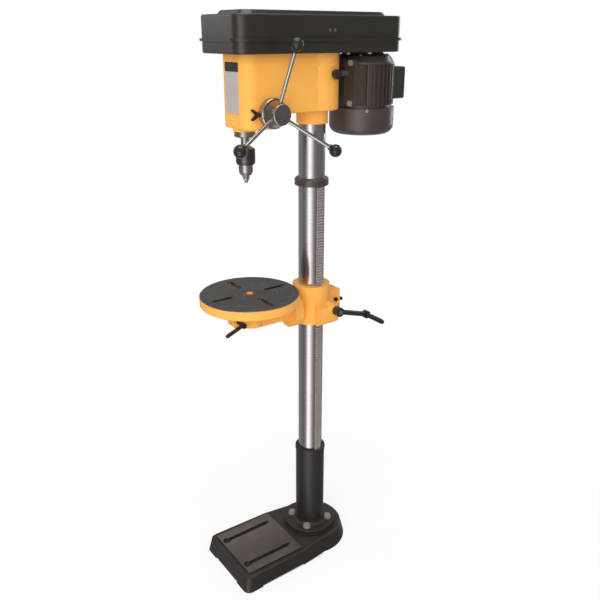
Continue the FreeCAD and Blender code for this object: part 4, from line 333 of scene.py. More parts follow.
def makeMetal(name, look):
    look = dict(metalBasics, **look)
    material, tree, shader = newMaterial(name, look["roughness"], metallic=1.0)
    if "stretch" in look:
        lines = placeGroup(tree, drawnLines, -600, 0, Stretch=look["stretch"])
    else:
        lines = placeGroup(tree, turnedLines, -600, 0, Centre=look["centre"], Axis=look["axis"],
                           Fineness=look["fineness"])
    colour = cloudedColour(tree, look, -300, 300)[1]
    streak = rescale(tree, lines.outputs[0], 0.35, 0.65, 0.0, look["streak"], -300, 100)
    colour = mixColours(tree, streak, colour, rgba(look["dark"]), -50, 250)
    marks = placeGroup(tree, fineScratches, -600, -250)
    touched = doMath(tree, "MULTIPLY", marks.outputs[0], look["scratches"], -300, -200)
    colour = mixColours(tree, touched, colour, rgba(look["bright"]), 150, 200)
    feed(tree, colour, shader.inputs["Base Color"])
    rough = rescale(tree, lines.outputs[0], 0.3, 0.7, look["roughness"] - look["roughSpan"],
                    look["roughness"] + look["roughSpan"], -50, 0)
    feed(tree, rough, shader.inputs["Roughness"])
    raiseSurface(tree, shader, lines.outputs[0], look["relief"], look["bump"])
    return material


# what all finishes of a kind share unless their own row says otherwise
paintBasics = {"smoother": 0.05, "rougher": 0.07, "coatRoughness": 0.3, "wearRadius": 0.0012,
               "dust": 0.10}
metalBasics = {"bright": (0.85, 0.85, 0.85), "roughSpan": 0.06, "relief": 0.00003, "bump": 0.6}
plasticBasics = {"smoother": 0.04, "rougher": 0.06, "roughness": 0.28, "ior": 1.5,
                 "cloudScale": 30.0, "wear": 0.3, "wearRadius": 0.0015, "dust": 0.03,
                 "dustColour": (0.42, 0.40, 0.37), "grain": 1200.0, "lumps": 90.0,
                 "relief": 0.00006}

paints = {
    "yellowPaint": {"colour": (0.85, 0.422, 0.082), "shade": (0.81, 0.398, 0.076),
                    "bare": (0.62, 0.28, 0.06), "dustColour": (0.80, 0.62, 0.42),
                    "roughness": 0.50, "specular": 0.28, "coat": 0.1, "cloudScale": 7.0,
                    "wear": 0.35, "grain": 500.0, "lumps": 55.0, "relief": 0.0004},
    "blackPaint": {"colour": (0.0150, 0.0122, 0.0102), "shade": (0.021, 0.0172, 0.0146),
                   "bare": (0.10, 0.095, 0.09), "dustColour": (0.16, 0.14, 0.12),
                   "roughness": 0.42, "specular": 0.4, "coat": 0.2, "cloudScale": 9.0,
                   "wear": 0.5, "wearRadius": 0.0015, "dust": 0.12, "grain": 420.0, "lumps": 50.0,
                   "relief": 0.0006},
    "guardPaint": {"colour": (0.018, 0.0145, 0.0105), "shade": (0.022, 0.018, 0.0135),
                   "bare": (0.09, 0.085, 0.08), "dustColour": (0.15, 0.13, 0.12),
                   "roughness": 0.30, "specular": 0.5, "coat": 0.4, "coatRoughness": 0.16,
                   "cloudScale": 6.0, "wear": 0.35, "grain": 900.0, "lumps": 120.0,
                   "relief": 0.00022},
    # the motor's paint is a lighter copy of the black paint: part of its colour is painted sheen,
    # standing in for the key light's reflection that the motor doesn't mirror
    "motorPaintAndSheen": {"colour": (0.038, 0.0275, 0.0250), "shade": (0.049, 0.0365, 0.0325),
                   "bare": (0.11, 0.10, 0.095), "dustColour": (0.16, 0.14, 0.13),
                   "roughness": 0.37, "specular": 0.6, "coat": 0.35, "coatRoughness": 0.24,
                   "cloudScale": 9.0, "wear": 0.5, "dust": 0.12, "grain": 600.0, "lumps": 70.0,
                   "relief": 0.0003},
    "darkCasting": {"colour": (0.060, 0.058, 0.057), "shade": (0.085, 0.082, 0.080),
                    "bare": (0.30, 0.29, 0.28), "dustColour": (0.20, 0.18, 0.16),
                    "roughness": 0.5, "specular": 0.5, "coat": 0.0, "cloudScale": 20.0,
                    "wear": 0.8, "wearRadius": 0.001, "dust": 0.05, "grain": 600.0, "lumps": 90.0,
                    "relief": 0.0005},
    "rackSteel": {"colour": (0.33, 0.29, 0.28), "shade": (0.27, 0.236, 0.229),
                  "bare": (0.45, 0.42, 0.41), "dustColour": (0.24, 0.20, 0.19), "roughness": 0.36,
                  "specular": 0.7, "coat": 0.3, "coatRoughness": 0.22, "cloudScale": 30.0,
                  "wear": 0.5, "wearRadius": 0.0006, "dust": 0.0, "grain": 900.0, "lumps": 200.0,
                  "relief": 0.00004},
    "dullZinc": {"colour": (0.27, 0.26, 0.25), "shade": (0.21, 0.20, 0.19),
                 "bare": (0.55, 0.54, 0.52), "dustColour": (0.30, 0.28, 0.25), "roughness": 0.40,
                 "specular": 0.5, "coat": 0.3, "coatRoughness": 0.25, "cloudScale": 90.0,
                 "wear": 0.6, "wearRadius": 0.0010, "grain": 900.0, "lumps": 200.0,
                 "relief": 0.00008},
}

spindlePlace = jointPlace["spindle_spin"]
feedPlace = jointPlace["feed_turn"]
upright = (0.0, 0.0, 1.0)
columnLathe = {"centre": (0.0, 0.0, 0.0), "axis": upright}
spindleLathe = {"centre": (spindlePlace[0], spindlePlace[1], 0.0), "axis": upright}
feedLathe = {"centre": (0.0, feedPlace[1], feedPlace[2]), "axis": (1.0, 0.0, 0.0)}

metals = {
    "groundColumn": {"colour": (0.61, 0.575, 0.58), "shade": (0.54, 0.505, 0.515),
                     "dark": (0.38, 0.35, 0.36), **columnLathe, "fineness": 1800.0,
                     "streak": 0.35, "scratches": 0.10, "roughness": 0.20, "roughSpan": 0.05,
                     "cloudScale": 5.0, "relief": 0.00004},
    "quillSteel": {"colour": (0.46, 0.47, 0.46), "shade": (0.38, 0.39, 0.38),
                   "dark": (0.24, 0.24, 0.24), "bright": (0.8, 0.8, 0.8), **spindleLathe,
                   "fineness": 2200.0, "streak": 0.4, "scratches": 0.10, "roughness": 0.28,
                   "cloudScale": 14.0},
    "brightChuck": {"colour": (0.54, 0.52, 0.51), "shade": (0.45, 0.435, 0.425),
                    "dark": (0.30, 0.29, 0.29), "bright": (0.9, 0.9, 0.9), **spindleLathe,
                    "fineness": 2600.0, "streak": 0.3, "scratches": 0.15, "roughness": 0.30,
                    "roughSpan": 0.05, "cloudScale": 18.0},
    "darkChuck": {"colour": (0.155, 0.130, 0.128), "shade": (0.190, 0.162, 0.160),
                  "dark": (0.085, 0.071, 0.070), "bright": (0.45, 0.44, 0.43), **spindleLathe,
                  "fineness": 2600.0, "streak": 0.5, "scratches": 0.25, "roughness": 0.36,
                  "cloudScale": 25.0},
    "turnedHub": {"colour": (0.48, 0.425, 0.40), "shade": (0.385, 0.34, 0.318),
                  "dark": (0.20, 0.19, 0.20), "bright": (0.8, 0.8, 0.8), **feedLathe,
                  "fineness": 2000.0, "streak": 0.5, "scratches": 0.15, "roughness": 0.30,
                  "roughSpan": 0.07, "cloudScale": 16.0, "relief": 0.00005},
    "satinRing": {"colour": (0.48, 0.47, 0.465), "shade": (0.40, 0.39, 0.385),
                  "dark": (0.38, 0.38, 0.38), "bright": (0.9, 0.9, 0.9), **feedLathe,
                  "fineness": 1500.0, "streak": 0.35, "scratches": 0.12, "roughness": 0.26,
                  "cloudScale": 16.0, "relief": 0.00005},
    "brightRod": {"colour": (0.62, 0.60, 0.60), "shade": (0.55, 0.53, 0.53),
                  "dark": (0.40, 0.38, 0.38), "bright": (0.9, 0.9, 0.9),
                  "stretch": (260.0, 260.0, 260.0), "streak": 0.2, "scratches": 0.08,
                  "roughness": 0.16, "roughSpan": 0.03, "cloudScale": 20.0, "relief": 0.00001},
    "zincPlate": {"colour": (0.58, 0.57, 0.55), "shade": (0.48, 0.47, 0.46),
                  "dark": (0.32, 0.31, 0.30), "stretch": (320.0, 320.0, 320.0), "streak": 0.35,
                  "scratches": 0.2, "roughness": 0.34, "cloudScale": 60.0, "relief": 0.00002},
    "castPulley": {"colour": (0.56, 0.56, 0.57), "shade": (0.48, 0.48, 0.49),
                   "dark": (0.34, 0.34, 0.34), **columnLathe, "fineness": 1400.0, "streak": 0.4,
                   "scratches": 0.15, "roughness": 0.33, "roughSpan": 0.07, "cloudScale": 18.0,
                   "relief": 0.00006},
    "tableTop": {"colour": (0.26, 0.24, 0.22), "shade": (0.19, 0.175, 0.16),
                 "dark": (0.11, 0.10, 0.095), "bright": (0.55, 0.53, 0.5), **spindleLathe,
                 "fineness": 1100.0, "streak": 0.6, "scratches": 0.35, "roughness": 0.42,
                 "roughSpan": 0.08, "cloudScale": 11.0, "relief": 0.00008},
    "planedPad": {"colour": (0.31, 0.262, 0.245), "shade": (0.19, 0.160, 0.150),
                  "dark": (0.115, 0.094, 0.088), "bright": (0.36, 0.32, 0.30),
                  "stretch": (900.0, 40.0, 900.0), "streak": 0.25, "scratches": 0.25,
                  "roughness": 0.52, "roughSpan": 0.08, "cloudScale": 9.0, "relief": 0.00008},
}

plastics = {
    "knobPlastic": {"colour": (0.012, 0.012, 0.012), "shade": (0.018, 0.017, 0.017),
                    "bare": (0.06, 0.06, 0.06), "roughness": 0.16, "ior": 1.52,
                    "cloudScale": 18.0, "wear": 0.2, "dust": 0.04, "grain": 900.0, "lumps": 60.0},
    "moulding": {"colour": (0.028, 0.026, 0.025), "shade": (0.036, 0.033, 0.032),
                 "bare": (0.09, 0.09, 0.09), "roughness": 0.48, "cloudScale": 20.0, "dust": 0.10,
                 "grain": 1600.0, "lumps": 200.0, "relief": 0.00022},
    "beltRubber": {"colour": (0.020, 0.020, 0.021), "shade": (0.034, 0.033, 0.033),
                   "bare": (0.10, 0.10, 0.10), "roughness": 0.72, "cloudScale": 40.0, "wear": 0.6,
                   "dust": 0.15, "grain": 2200.0, "lumps": 500.0, "relief": 0.00030},
    "greenPlastic": {"colour": (0.020, 0.28, 0.055), "shade": (0.018, 0.24, 0.048),
                     "bare": (0.25, 0.45, 0.28)},
    "redPlastic": {"colour": (0.52, 0.018, 0.016), "shade": (0.46, 0.016, 0.014),
                   "bare": (0.65, 0.25, 0.22)},
    "whiteMark": {"colour": (0.80, 0.80, 0.78), "shade": (0.74, 0.74, 0.72),
                  "bare": (0.6, 0.6, 0.58), "roughness": 0.4, "cloudScale": 60.0, "wear": 0.2,
                  "grain": 1500.0, "lumps": 200.0, "relief": 0.00003},
    "scaleInk": {"colour": (0.02, 0.02, 0.02), "shade": (0.035, 0.035, 0.035),
                 "bare": (0.2, 0.2, 0.2), "roughness": 0.5, "ior": 1.45, "cloudScale": 90.0,
                 "wear": 0.2, "dust": 0.0, "grain": 1500.0, "lumps": 200.0, "relief": 0.00002},
}

materials = {}
for looks, make in ((paints, makePaint), (metals, makeMetal), (plastics, makePlastic)):
    for name, look in looks.items():
        materials[name] = make(name, look)

# each pulley is turned about its own shaft
pulleyFinish = {"spindle_pulley": "spindlePulleyMetal", "idler_pulley": "idlerPulleyMetal",
                "motor_pulley": "motorPulleyMetal"}
for pulley, name in pulleyFinish.items():
    low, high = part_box(pulley)
    look = dict(metals["castPulley"], centre=(0.0, (low.y + high.y) / 2, 0.0))
    materials[name] = makeMetal(name, look)
print("materials built:", len(materials))

finishOf = {
    "blackPaint": ["base_casting", "column_support", "crank_arm", "column_clamp_lever",
                   "table_clamp_lever", "depth_lock_screw"],
    # the motor and the rack collar take the lighter black paint that carries painted sheen
    "motorPaintAndSheen": ["motor_plate", "motor_housing", "motor_end_bell", "fan_cover", "rack_collar"],
    "guardPaint": ["guard_pan", "guard_lid"],
    "yellowPaint": ["head_casting", "table_bracket", "table_arm", "work_table"],
    "darkCasting": ["idler_arm", "slide_bars"],
    "zincPlate": ["set_screws", "tilt_bolt", "pan_bolts", "hinge_pins"],
    "dullZinc": ["support_bolts", "motor_bolts"],
    "rackSteel": ["table_rack"],
    "groundColumn": ["column_tube", "pinion_shaft", "worm_shaft",
                     "motor_shaft", "return_spring"],
    "quillSteel": ["quill", "spindle", "drive_sleeve", "quill_bearings", "pulley_bearings"],
    "brightChuck": ["chuck_body", "chuck_jaw_1", "chuck_jaw_2", "chuck_jaw_3"],
    "darkChuck": ["chuck_sleeve"],
    "turnedHub": ["feed_shaft", "feed_hub"],
    "satinRing": ["depth_ring", "spring_housing"],
    "brightRod": ["feed_rods"],
    "knobPlastic": ["feed_knobs", "crank_grip", "tension_knob"],
    "moulding": ["motor_fan", "terminal_box", "cable_gland", "switch_box"],
    "beltRubber": ["belt_front", "belt_rear"],
    "greenPlastic": ["start_button"],
    "redPlastic": ["stop_button"],
}
for pulley, name in pulleyFinish.items():
    finishOf[name] = [pulley]

for finish, names in finishOf.items():
    for name in names:
        slots = nodes[name].data.materials
        slots.clear()
        slots.append(materials[finish])
unfinished = set(nodes) - {name for names in finishOf.values() for name in names}
print("nodes without a finish:", sorted(unfinished))


def finishFaces(name, finish, chosen):
    # a second finish on the faces that chosen accepts
    mesh = nodes[name].data
    mesh.materials.append(materials[finish])
    index = len(mesh.materials) - 1
    for face in mesh.polygons:
        if chosen(face.center, face.normal):
            face.material_index = index


machined = {"tableSkin": 0.0012, "slotDepth": 0.014, "rim": 0.012, "wallTilt": 0.5,
            "padSkin": 0.0005, "padRear": -0.09, "padTilt": 0.9}
tableLow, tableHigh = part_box("work_table")
tableMiddle = (tableLow + tableHigh) / 2
slotReach = (tableHigh.x - tableLow.x) / 2 - machined["rim"]
baseLow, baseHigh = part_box("base_casting")


def isTableTop(centre, normal):
    # the flat top and the walls of its slots
    reach = math.hypot(centre.x - tableMiddle.x, centre.y - tableMiddle.y)
    slotWall = (reach < slotReach and abs(normal.z) < machined["wallTilt"]
                and centre.z > tableHigh.z - machined["slotDepth"])
    return centre.z > tableHigh.z - machined["tableSkin"] or slotWall


def isBasePad(centre, normal):
    return (centre.z > baseHigh.z - machined["padSkin"] and centre.y < machined["padRear"]
            and normal.z > machined["padTilt"])


finishFaces("work_table", "tableTop", isTableTop)
finishFaces("base_casting", "planedPad", isBasePad)

sharpAngle = math.radians(35)  # edges that turn more than this stay crisp


def finishObject(name, work, finish, body, smooth=True, closed=True):
    # turns work into a piece that rides on body
    if closed:
        bmesh.ops.recalc_face_normals(work, faces=work.faces)
    mesh = bpy.data.meshes.new(name)
    work.to_mesh(mesh)
    work.free()
    piece = bpy.data.objects.new(name, mesh)
    bpy.context.scene.collection.objects.link(piece)
    mesh.materials.append(materials[finish])
    for face in mesh.polygons:
        face.use_smooth = smooth
    if smooth:
        mesh.set_sharp_from_angle(angle=sharpAngle)
    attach(piece, body)
    return piece


def frameTo(place, outward):
    # a matrix that stands +Z along outward at place
    turn = Vector(outward).normalized().to_track_quat("Z", "Y")
    return Matrix.Translation(Vector(place)) @ turn.to_matrix().to_4x4()


def ringOf(work, radiusAt, height, count):
    ring = []
    for number in range(count):
        angle = 2 * math.pi * number / count
        radius = radiusAt(angle)
        ring.append(work.verts.new((radius * math.cos(angle), radius * math.sin(angle), height)))
    return ring


def bridge(work, first, second):
    count = len(first)
    for number in range(count):
        after = (number + 1) % count
        work.faces.new((first[number], first[after], second[after], second[number]))


# a pan head in shares of its radius and height, and the reach and half width of its recess
headShape = {"points": 48, "foot": 0.97, "recess": (0.52, 0.13), "recessFloor": (0.40, 0.09),
             "dome": ((1.0, 0.35), (0.93, 0.68), (0.80, 0.88), (0.62, 0.98)), "floorHeight": 0.3}


def crossRadius(radius, shares):
    # the outline of a cross recess, as a radius at each angle
    reach, half = (radius * share for share in shares)
    least = 1e-6

    def radiusAt(angle):
        across, up = abs(math.cos(angle)), abs(math.sin(angle))
        first = min(reach / max(across, least), half / max(up, least))
        second = min(reach / max(up, least), half / max(across, least))
        return max(first, second)
    return radiusAt


def panScrew(work, place, outward, look):
    # a domed head with a cross recess
    count = headShape["points"]
    start = len(work.verts)
    radius, height = look["radius"], look["height"]
    rings = [ringOf(work, lambda angle: radius * headShape["foot"], -look["sunk"], count)]
    for share, rise in headShape["dome"]:
        rings.append(ringOf(work, lambda angle, s=share: radius * s, height * rise, count))
    rings.append(ringOf(work, crossRadius(radius, headShape["recess"]), height, count))
    rings.append(ringOf(work, crossRadius(radius, headShape["recessFloor"]),
                        height * headShape["floorHeight"], count))
    for first, second in zip(rings, rings[1:]):
        bridge(work, first, second)
    work.faces.new(rings[-1])
    work.faces.new(list(reversed(rings[0])))
    work.verts.ensure_lookup_table()
    bmesh.ops.transform(work, matrix=frameTo(place, outward), verts=work.verts[start:])


def screwSet(name, places, look, finish, body):
    work = bmesh.new()
    for place, outward in places:
        panScrew(work, place, outward, look)
    finishObject(name, work, finish, body)


def roundMotor(degrees):
    # a level direction away from the motor's shaft
    turn = math.radians(degrees)
    return Vector((math.cos(turn), math.sin(turn), 0))


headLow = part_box("head_casting")[0]
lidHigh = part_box("guard_lid")[1]
coverLow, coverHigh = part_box("fan_cover")
boxLow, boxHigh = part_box("terminal_box")
switchLow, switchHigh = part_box("switch_box")
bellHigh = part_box("motor_end_bell")[1]
motorY = (coverLow.y + coverHigh.y) / 2

lidScrewLook = {"radius": 0.0036, "height": 0.0020, "sunk": 0.0006, "lip": 0.006,
                "ys": (-0.019, -0.004), "below": 0.043}
lidSide = lidHigh.x - lidScrewLook["lip"]
screwSet("lidScrews", [((lidSide, y, lidHigh.z - lidScrewLook["below"]), (1, 0, 0))
                       for y in lidScrewLook["ys"]], lidScrewLook, "darkCasting", "lid")

coverScrewLook = {"radius": 0.0050, "height": 0.0026, "sunk": 0.0010, "below": 0.005,
                  "turns": (-30, 90, 210)}
coverScrews = []
for degrees in coverScrewLook["turns"]:
    way = roundMotor(degrees)
    place = Vector((0, motorY, coverHigh.z - coverScrewLook["below"])) + way * coverHigh.x
    coverScrews.append((place, way))
screwSet("coverScrews", coverScrews, coverScrewLook, "zincPlate", "motor")

boxScrewLook = {"radius": 0.0034, "height": 0.0018, "sunk": 0.0006, "inset": 0.008}
inset = boxScrewLook["inset"]
screwSet("boxScrews", [((x, boxHigh.y, z), (0, 1, 0))
                       for x in (boxLow.x + inset, boxHigh.x - inset)
                       for z in (boxLow.z + inset, boxHigh.z - inset)],
         boxScrewLook, "zincPlate", "motor")

switchScrewLook = {"radius": 0.0030, "height": 0.0016, "sunk": 0.0006, "inset": 0.0075}
inset = switchScrewLook["inset"]
screwSet("switchScrews", [((switchLow.x, y, z), (-1, 0, 0))
                          for y in (switchLow.y + inset, switchHigh.y - inset)
                          for z in (switchLow.z + inset, switchHigh.z - inset)],
         switchScrewLook, "zincPlate", "frame")

bellScrewLook = {"radius": 0.0042, "height": 0.0024, "sunk": 0.0014, "circle": 0.0640,
                 "below": 0.0060, "lean": 20.0, "turns": (45, 135, 225, 315)}
bellScrews = []
lean = math.radians(bellScrewLook["lean"])
for degrees in bellScrewLook["turns"]:
    way = roundMotor(degrees)
    place = Vector((0, motorY, bellHigh.z - bellScrewLook["below"])) + way * bellScrewLook["circle"]
    bellScrews.append((place, way * math.sin(lean) + Vector((0, 0, math.cos(lean)))))
screwSet("bellScrews", bellScrews, bellScrewLook, "zincPlate", "motor")

headPlugLook = {"radius": 0.0058, "height": 0.0020, "sunk": 0.0010,
                "place": (0.061, -0.0245, 1.447)}
screwSet("headPlug", [(headPlugLook["place"], (1, 0, 0))], headPlugLook, "yellowPaint", "frame")
print("screws placed")


# the plain plate on the head's front: heights are above the head's lowest point
plateLook = {"halfWidth": 0.0300, "low": 0.0410, "band": 0.1370, "high": 0.1580, "corner": 0.003,
             "thick": 0.0007, "tuck": 0.0001, "seam": 0.0002, "rowStep": 0.0085,
             "lineWidth": 0.0004, "uprightLine": -0.008, "margin": 0.004, "lineStrength": 0.45,
             "colour": (0.56, 0.53, 0.53), "shade": (0.50, 0.47, 0.47), "line": (0.26, 0.25, 0.25),
             "roughness": 0.38, "roughSpan": (0.32, 0.46), "metallic": 0.35, "cloudScale": 22.0,
             "stretch": (30.0, 900.0, 1800.0), "relief": 0.00002, "bump": 0.5}


def roundedRectangle(x0, x1, z0, z1, corner, steps=6):
    points = []
    for cx, cz, start in ((x1 - corner, z0 + corner, -90), (x1 - corner, z1 - corner, 0),
                          (x0 + corner, z1 - corner, 90), (x0 + corner, z0 + corner, 180)):
        for step in range(steps + 1):
            angle = math.radians(start + 90 * step / steps)
            points.append((cx + corner * math.cos(angle), cz + corner * math.sin(angle)))
    return points


def platePiece(name, low, high, finish):
    # a thin plate on the head that faces -Y, with a small bevelled edge
    work = bmesh.new()
    half = plateLook["halfWidth"]
    outline = roundedRectangle(-half, half, low, high, plateLook["corner"])
    face = headLow.y - plateLook["thick"]
    edge = plateLook["thick"] / 2
    middle = Vector((0, 0, (low + high) / 2))
    back = [work.verts.new((x, headLow.y + plateLook["tuck"], z)) for x, z in outline]
    side = [work.verts.new((x, face + edge, z)) for x, z in outline]
    front = []
    for x, z in outline:
        inward = (middle - Vector((x, 0, z))).normalized() * edge
        front.append(work.verts.new((x + inward.x, face, z + inward.z)))
    bridge(work, back, side)
    bridge(work, side, front)
    work.faces.new(front)
    work.faces.new(list(reversed(back)))
    finishObject(name, work, finish, "frame")


def makePlateMetal(low):
    # satin plate with faint ruled rows from low upwards, one upright line, and no words
    look = plateLook
    material, tree, shader = newMaterial("plateMetal", look["roughness"], look["metallic"])
    colour = cloudedColour(tree, look, -600, 400)[1]
    place = addNode(tree, "ShaderNodeTexCoord", -1200, 0)
    split = addNode(tree, "ShaderNodeSeparateXYZ", -1000, 0)
    feed(tree, place.outputs["Object"], split.inputs[0])
    rows = doMath(tree, "SUBTRACT", split.outputs["Z"], low, -850, 100)
    rows = doMath(tree, "MODULO", rows, look["rowStep"], -700, 100)
    rowLine = doMath(tree, "LESS_THAN", rows, look["lineWidth"], -550, 100)
    side = doMath(tree, "SUBTRACT", split.outputs["X"], look["uprightLine"], -850, -100)
    side = doMath(tree, "ABSOLUTE", side, 0.0, -700, -100)
    uprightLine = doMath(tree, "LESS_THAN", side, look["lineWidth"] / 2, -550, -100)
    line = doMath(tree, "MAXIMUM", rowLine, uprightLine, -400, 0)
    reach = doMath(tree, "ABSOLUTE", split.outputs["X"], 0.0, -700, -250)
    within = doMath(tree, "LESS_THAN", reach, look["halfWidth"] - look["margin"], -550, -250)
    line = doMath(tree, "MULTIPLY", line, within, -250, 0)
    line = doMath(tree, "MULTIPLY", line, look["lineStrength"], -100, 0)
    colour = mixColours(tree, line, colour, rgba(look["line"]), 100, 250)
    feed(tree, colour, shader.inputs["Base Color"])
    lines = placeGroup(tree, drawnLines, -300, -300, Stretch=look["stretch"])
    rough = rescale(tree, lines.outputs[0], 0.3, 0.7, *look["roughSpan"], 0, -150)
    feed(tree, rough, shader.inputs["Roughness"])
    raiseSurface(tree, shader, lines.outputs[0], look["relief"], look["bump"])
    return material


plateLow, plateBand, plateHigh = (headLow.z + plateLook[key] for key in ("low", "band", "high"))
materials["plateMetal"] = makePlateMetal(plateLow)
platePiece("frontPlate", plateLow, plateBand - plateLook["seam"], "plateMetal")
platePiece("frontBand", plateBand, plateHigh, "knobPlastic")
print("front plate done")


# marks and plain numbers round the depth ring: one mark for each millimetre of feed
scaleLook = {"degreesPerMark": 4.7746, "marks": 75, "firstAngle": 150.0, "width": 0.00045,
             "proud": 0.00012, "sunk": 0.0003, "edge": 0.0022,
             "lengths": ((10, 0.0075), (5, 0.0055), (1, 0.0035)),
             "textSize": 0.0062, "textDrop": 0.0137, "textProud": 0.00006}
ringLow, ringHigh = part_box("depth_ring")
ringRadius = (ringHigh.z - ringLow.z) / 2
ringCentre = Vector((0, (ringLow.y + ringHigh.y) / 2, (ringLow.z + ringHigh.z) / 2))


def ringPoint(x, angle, radius):
    around = Vector((0, math.cos(angle), math.sin(angle)))
    return Vector((x, ringCentre.y, ringCentre.z)) + around * radius


def markAngle(number):
    return math.radians(scaleLook["firstAngle"] - number * scaleLook["degreesPerMark"])


def depthMarks():
    work = bmesh.new()
    spread = scaleLook["width"] / 2 / ringRadius
    x1 = ringHigh.x - scaleLook["edge"]
    for number in range(scaleLook["marks"] + 1):
        x0 = x1 - next(length for every, length in scaleLook["lengths"] if number % every == 0)
        loops = []
        corners = ((x0, -spread), (x1, -spread), (x1, spread), (x0, spread))
        for radius in (ringRadius - scaleLook["sunk"], ringRadius + scaleLook["proud"]):
            loops.append([work.verts.new(ringPoint(x, markAngle(number) + turn, radius))
                          for x, turn in corners])
        bridge(work, *loops)
        for loop in loops:
            work.faces.new(loop)
    finishObject("depthMarks", work, "scaleInk", "depth_ring", smooth=False)


def depthNumbers():
    # each number is flat text wrapped on to the ring
    work = bmesh.new()
    for number in range(0, scaleLook["marks"], 10):
        curve = bpy.data.curves.new("numberShape", "FONT")
        curve.body = str(number)
        curve.size = scaleLook["textSize"]
        curve.align_x = "CENTER"
        curve.extrude = 0.0
        holder = bpy.data.objects.new("numberShape", curve)
        bpy.context.scene.collection.objects.link(holder)
        bpy.context.view_layer.update()
        flat = bpy.data.meshes.new_from_object(holder)
        bpy.data.objects.remove(holder)
        start = len(work.verts)
        work.from_mesh(flat)
        work.verts.ensure_lookup_table()
        x0 = ringHigh.x - scaleLook["edge"] - scaleLook["textDrop"]
        for vert in work.verts[start:]:
            turn = markAngle(number) - vert.co.x / ringRadius
            vert.co = ringPoint(x0 + vert.co.y, turn, ringRadius + scaleLook["textProud"])
        bpy.data.meshes.remove(flat)
        bpy.data.curves.remove(curve)
    bmesh.ops.recalc_face_normals(work, faces=work.faces)
    for face in work.faces:
        middle = face.calc_center_median() - ringCentre
        middle.x = 0
        if face.normal.dot(middle) < 0:
            face.normal_flip()
    finishObject("depthNumbers", work, "scaleInk", "depth_ring", smooth=False, closed=False)


depthMarks()
depthNumbers()
print("depth scale done")


# a bar on the start button and a ring on the stop button
markLook = {"thick": 0.0003, "sunk": 0.00015, "bar": 0.0085, "barWidth": 0.0012, "bevel": 0.0001,
            "ring": 0.0042, "ringWidth": 0.0011, "points": 48}


def startMark():
    low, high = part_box("start_button")
    middle = (low + high) / 2
    work = bmesh.new()
    place = Matrix.Translation((low.x, middle.y, middle.z))
    size = Matrix.Diagonal((markLook["thick"], markLook["barWidth"], markLook["bar"], 1))
    bmesh.ops.create_cube(work, size=1.0, matrix=place @ size)
    bmesh.ops.bevel(work, geom=work.edges[:], offset=markLook["bevel"], segments=1, affect="EDGES")
    finishObject("startMark", work, "whiteMark", "start_button")


def stopMark():
    low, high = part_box("stop_button")
    middle = (low + high) / 2
    work = bmesh.new()
    outer = markLook["ring"]
    inner = outer - markLook["ringWidth"]
    sunk, proud = low.x + markLook["sunk"], low.x - markLook["thick"]
    turns = [2 * math.pi * step / markLook["points"] for step in range(markLook["points"])]
    rings = []
    for radius, x in ((inner, sunk), (inner, proud), (outer, proud), (outer, sunk)):
        rings.append([work.verts.new((x, middle.y + radius * math.cos(turn),
                                      middle.z + radius * math.sin(turn))) for turn in turns])
    for first, second in zip(rings, rings[1:] + rings[:1]):
        bridge(work, first, second)
    finishObject("stopMark", work, "whiteMark", "stop_button")


startMark()
stopMark()
print("button marks done")

studio = {"floorSize": 14.0, "floorColour": (0.90, 0.89, 0.88), "floorGlow": 0.80,
          "shadowReach": (0.35, 1.10), "underEdge": 0.004, "underRear": -0.03,
          "fill": 0.50, "overhead": 0.75, "overheadEdge": (0.70, 0.90), "backdrop": 0.62,
          "backdropEdge": (0.10, 0.26), "windowEdge": (0.04, 0.11), "windowPeak": 2.2,
          "aboveWindow": 0.45}
# what polished metal sees round the room: degrees from +X, brightness
room = ((-180, 0.34), (-140, 0.30), (-112, 0.20), (-92, 0.24), (-78, 0.50), (-66, 1.50),
        (-56, 2.15), (-44, 1.80), (-30, 0.92), (-14, 0.36), (0, 0.22), (60, 0.19), (100, 0.26),
        (180, 0.30))
backdropTurns = ((-180, 0.0), (104, 0.0), (122, 1.0), (160, 1.0), (178, 0.0), (180, 0.0))
# the key light isn't mirrored, because the room above already holds that window
lamps = {
    "keyLight": {"place": (2.00, -2.15, 2.05), "target": (0.0, -0.05, 1.05), "size": (2.8, 2.0),
                 "power": 84.0, "colour": (1.0, 0.90, 0.86), "mirrored": False},
    "fillLight": {"place": (-2.2, -1.6, 2.4), "target": (0.0, 0.0, 1.1), "size": (1.6, 2.0),
                  "power": 8.0, "colour": (1.0, 0.93, 0.90), "mirrored": True},
    "sideLight": {"place": (-0.40, 2.90, 1.9), "target": (0.0, 0.0, 1.1), "size": (0.5, 2.2),
                  "power": 15.0, "colour": (1.0, 1.0, 1.0), "mirrored": True},
    "topLight": {"place": (0.3, -0.2, 3.6), "target": (0.0, 0.0, 0.8), "size": (2.2, 2.2),
                 "power": 30.0, "colour": (1.0, 1.0, 1.0), "mirrored": True},
}
cameraLook = {"place": (1.4617, -1.0776, 1.514), "turn": 54.58, "down": 21.27, "lens": 41.1,
              "sensor": 36.0}


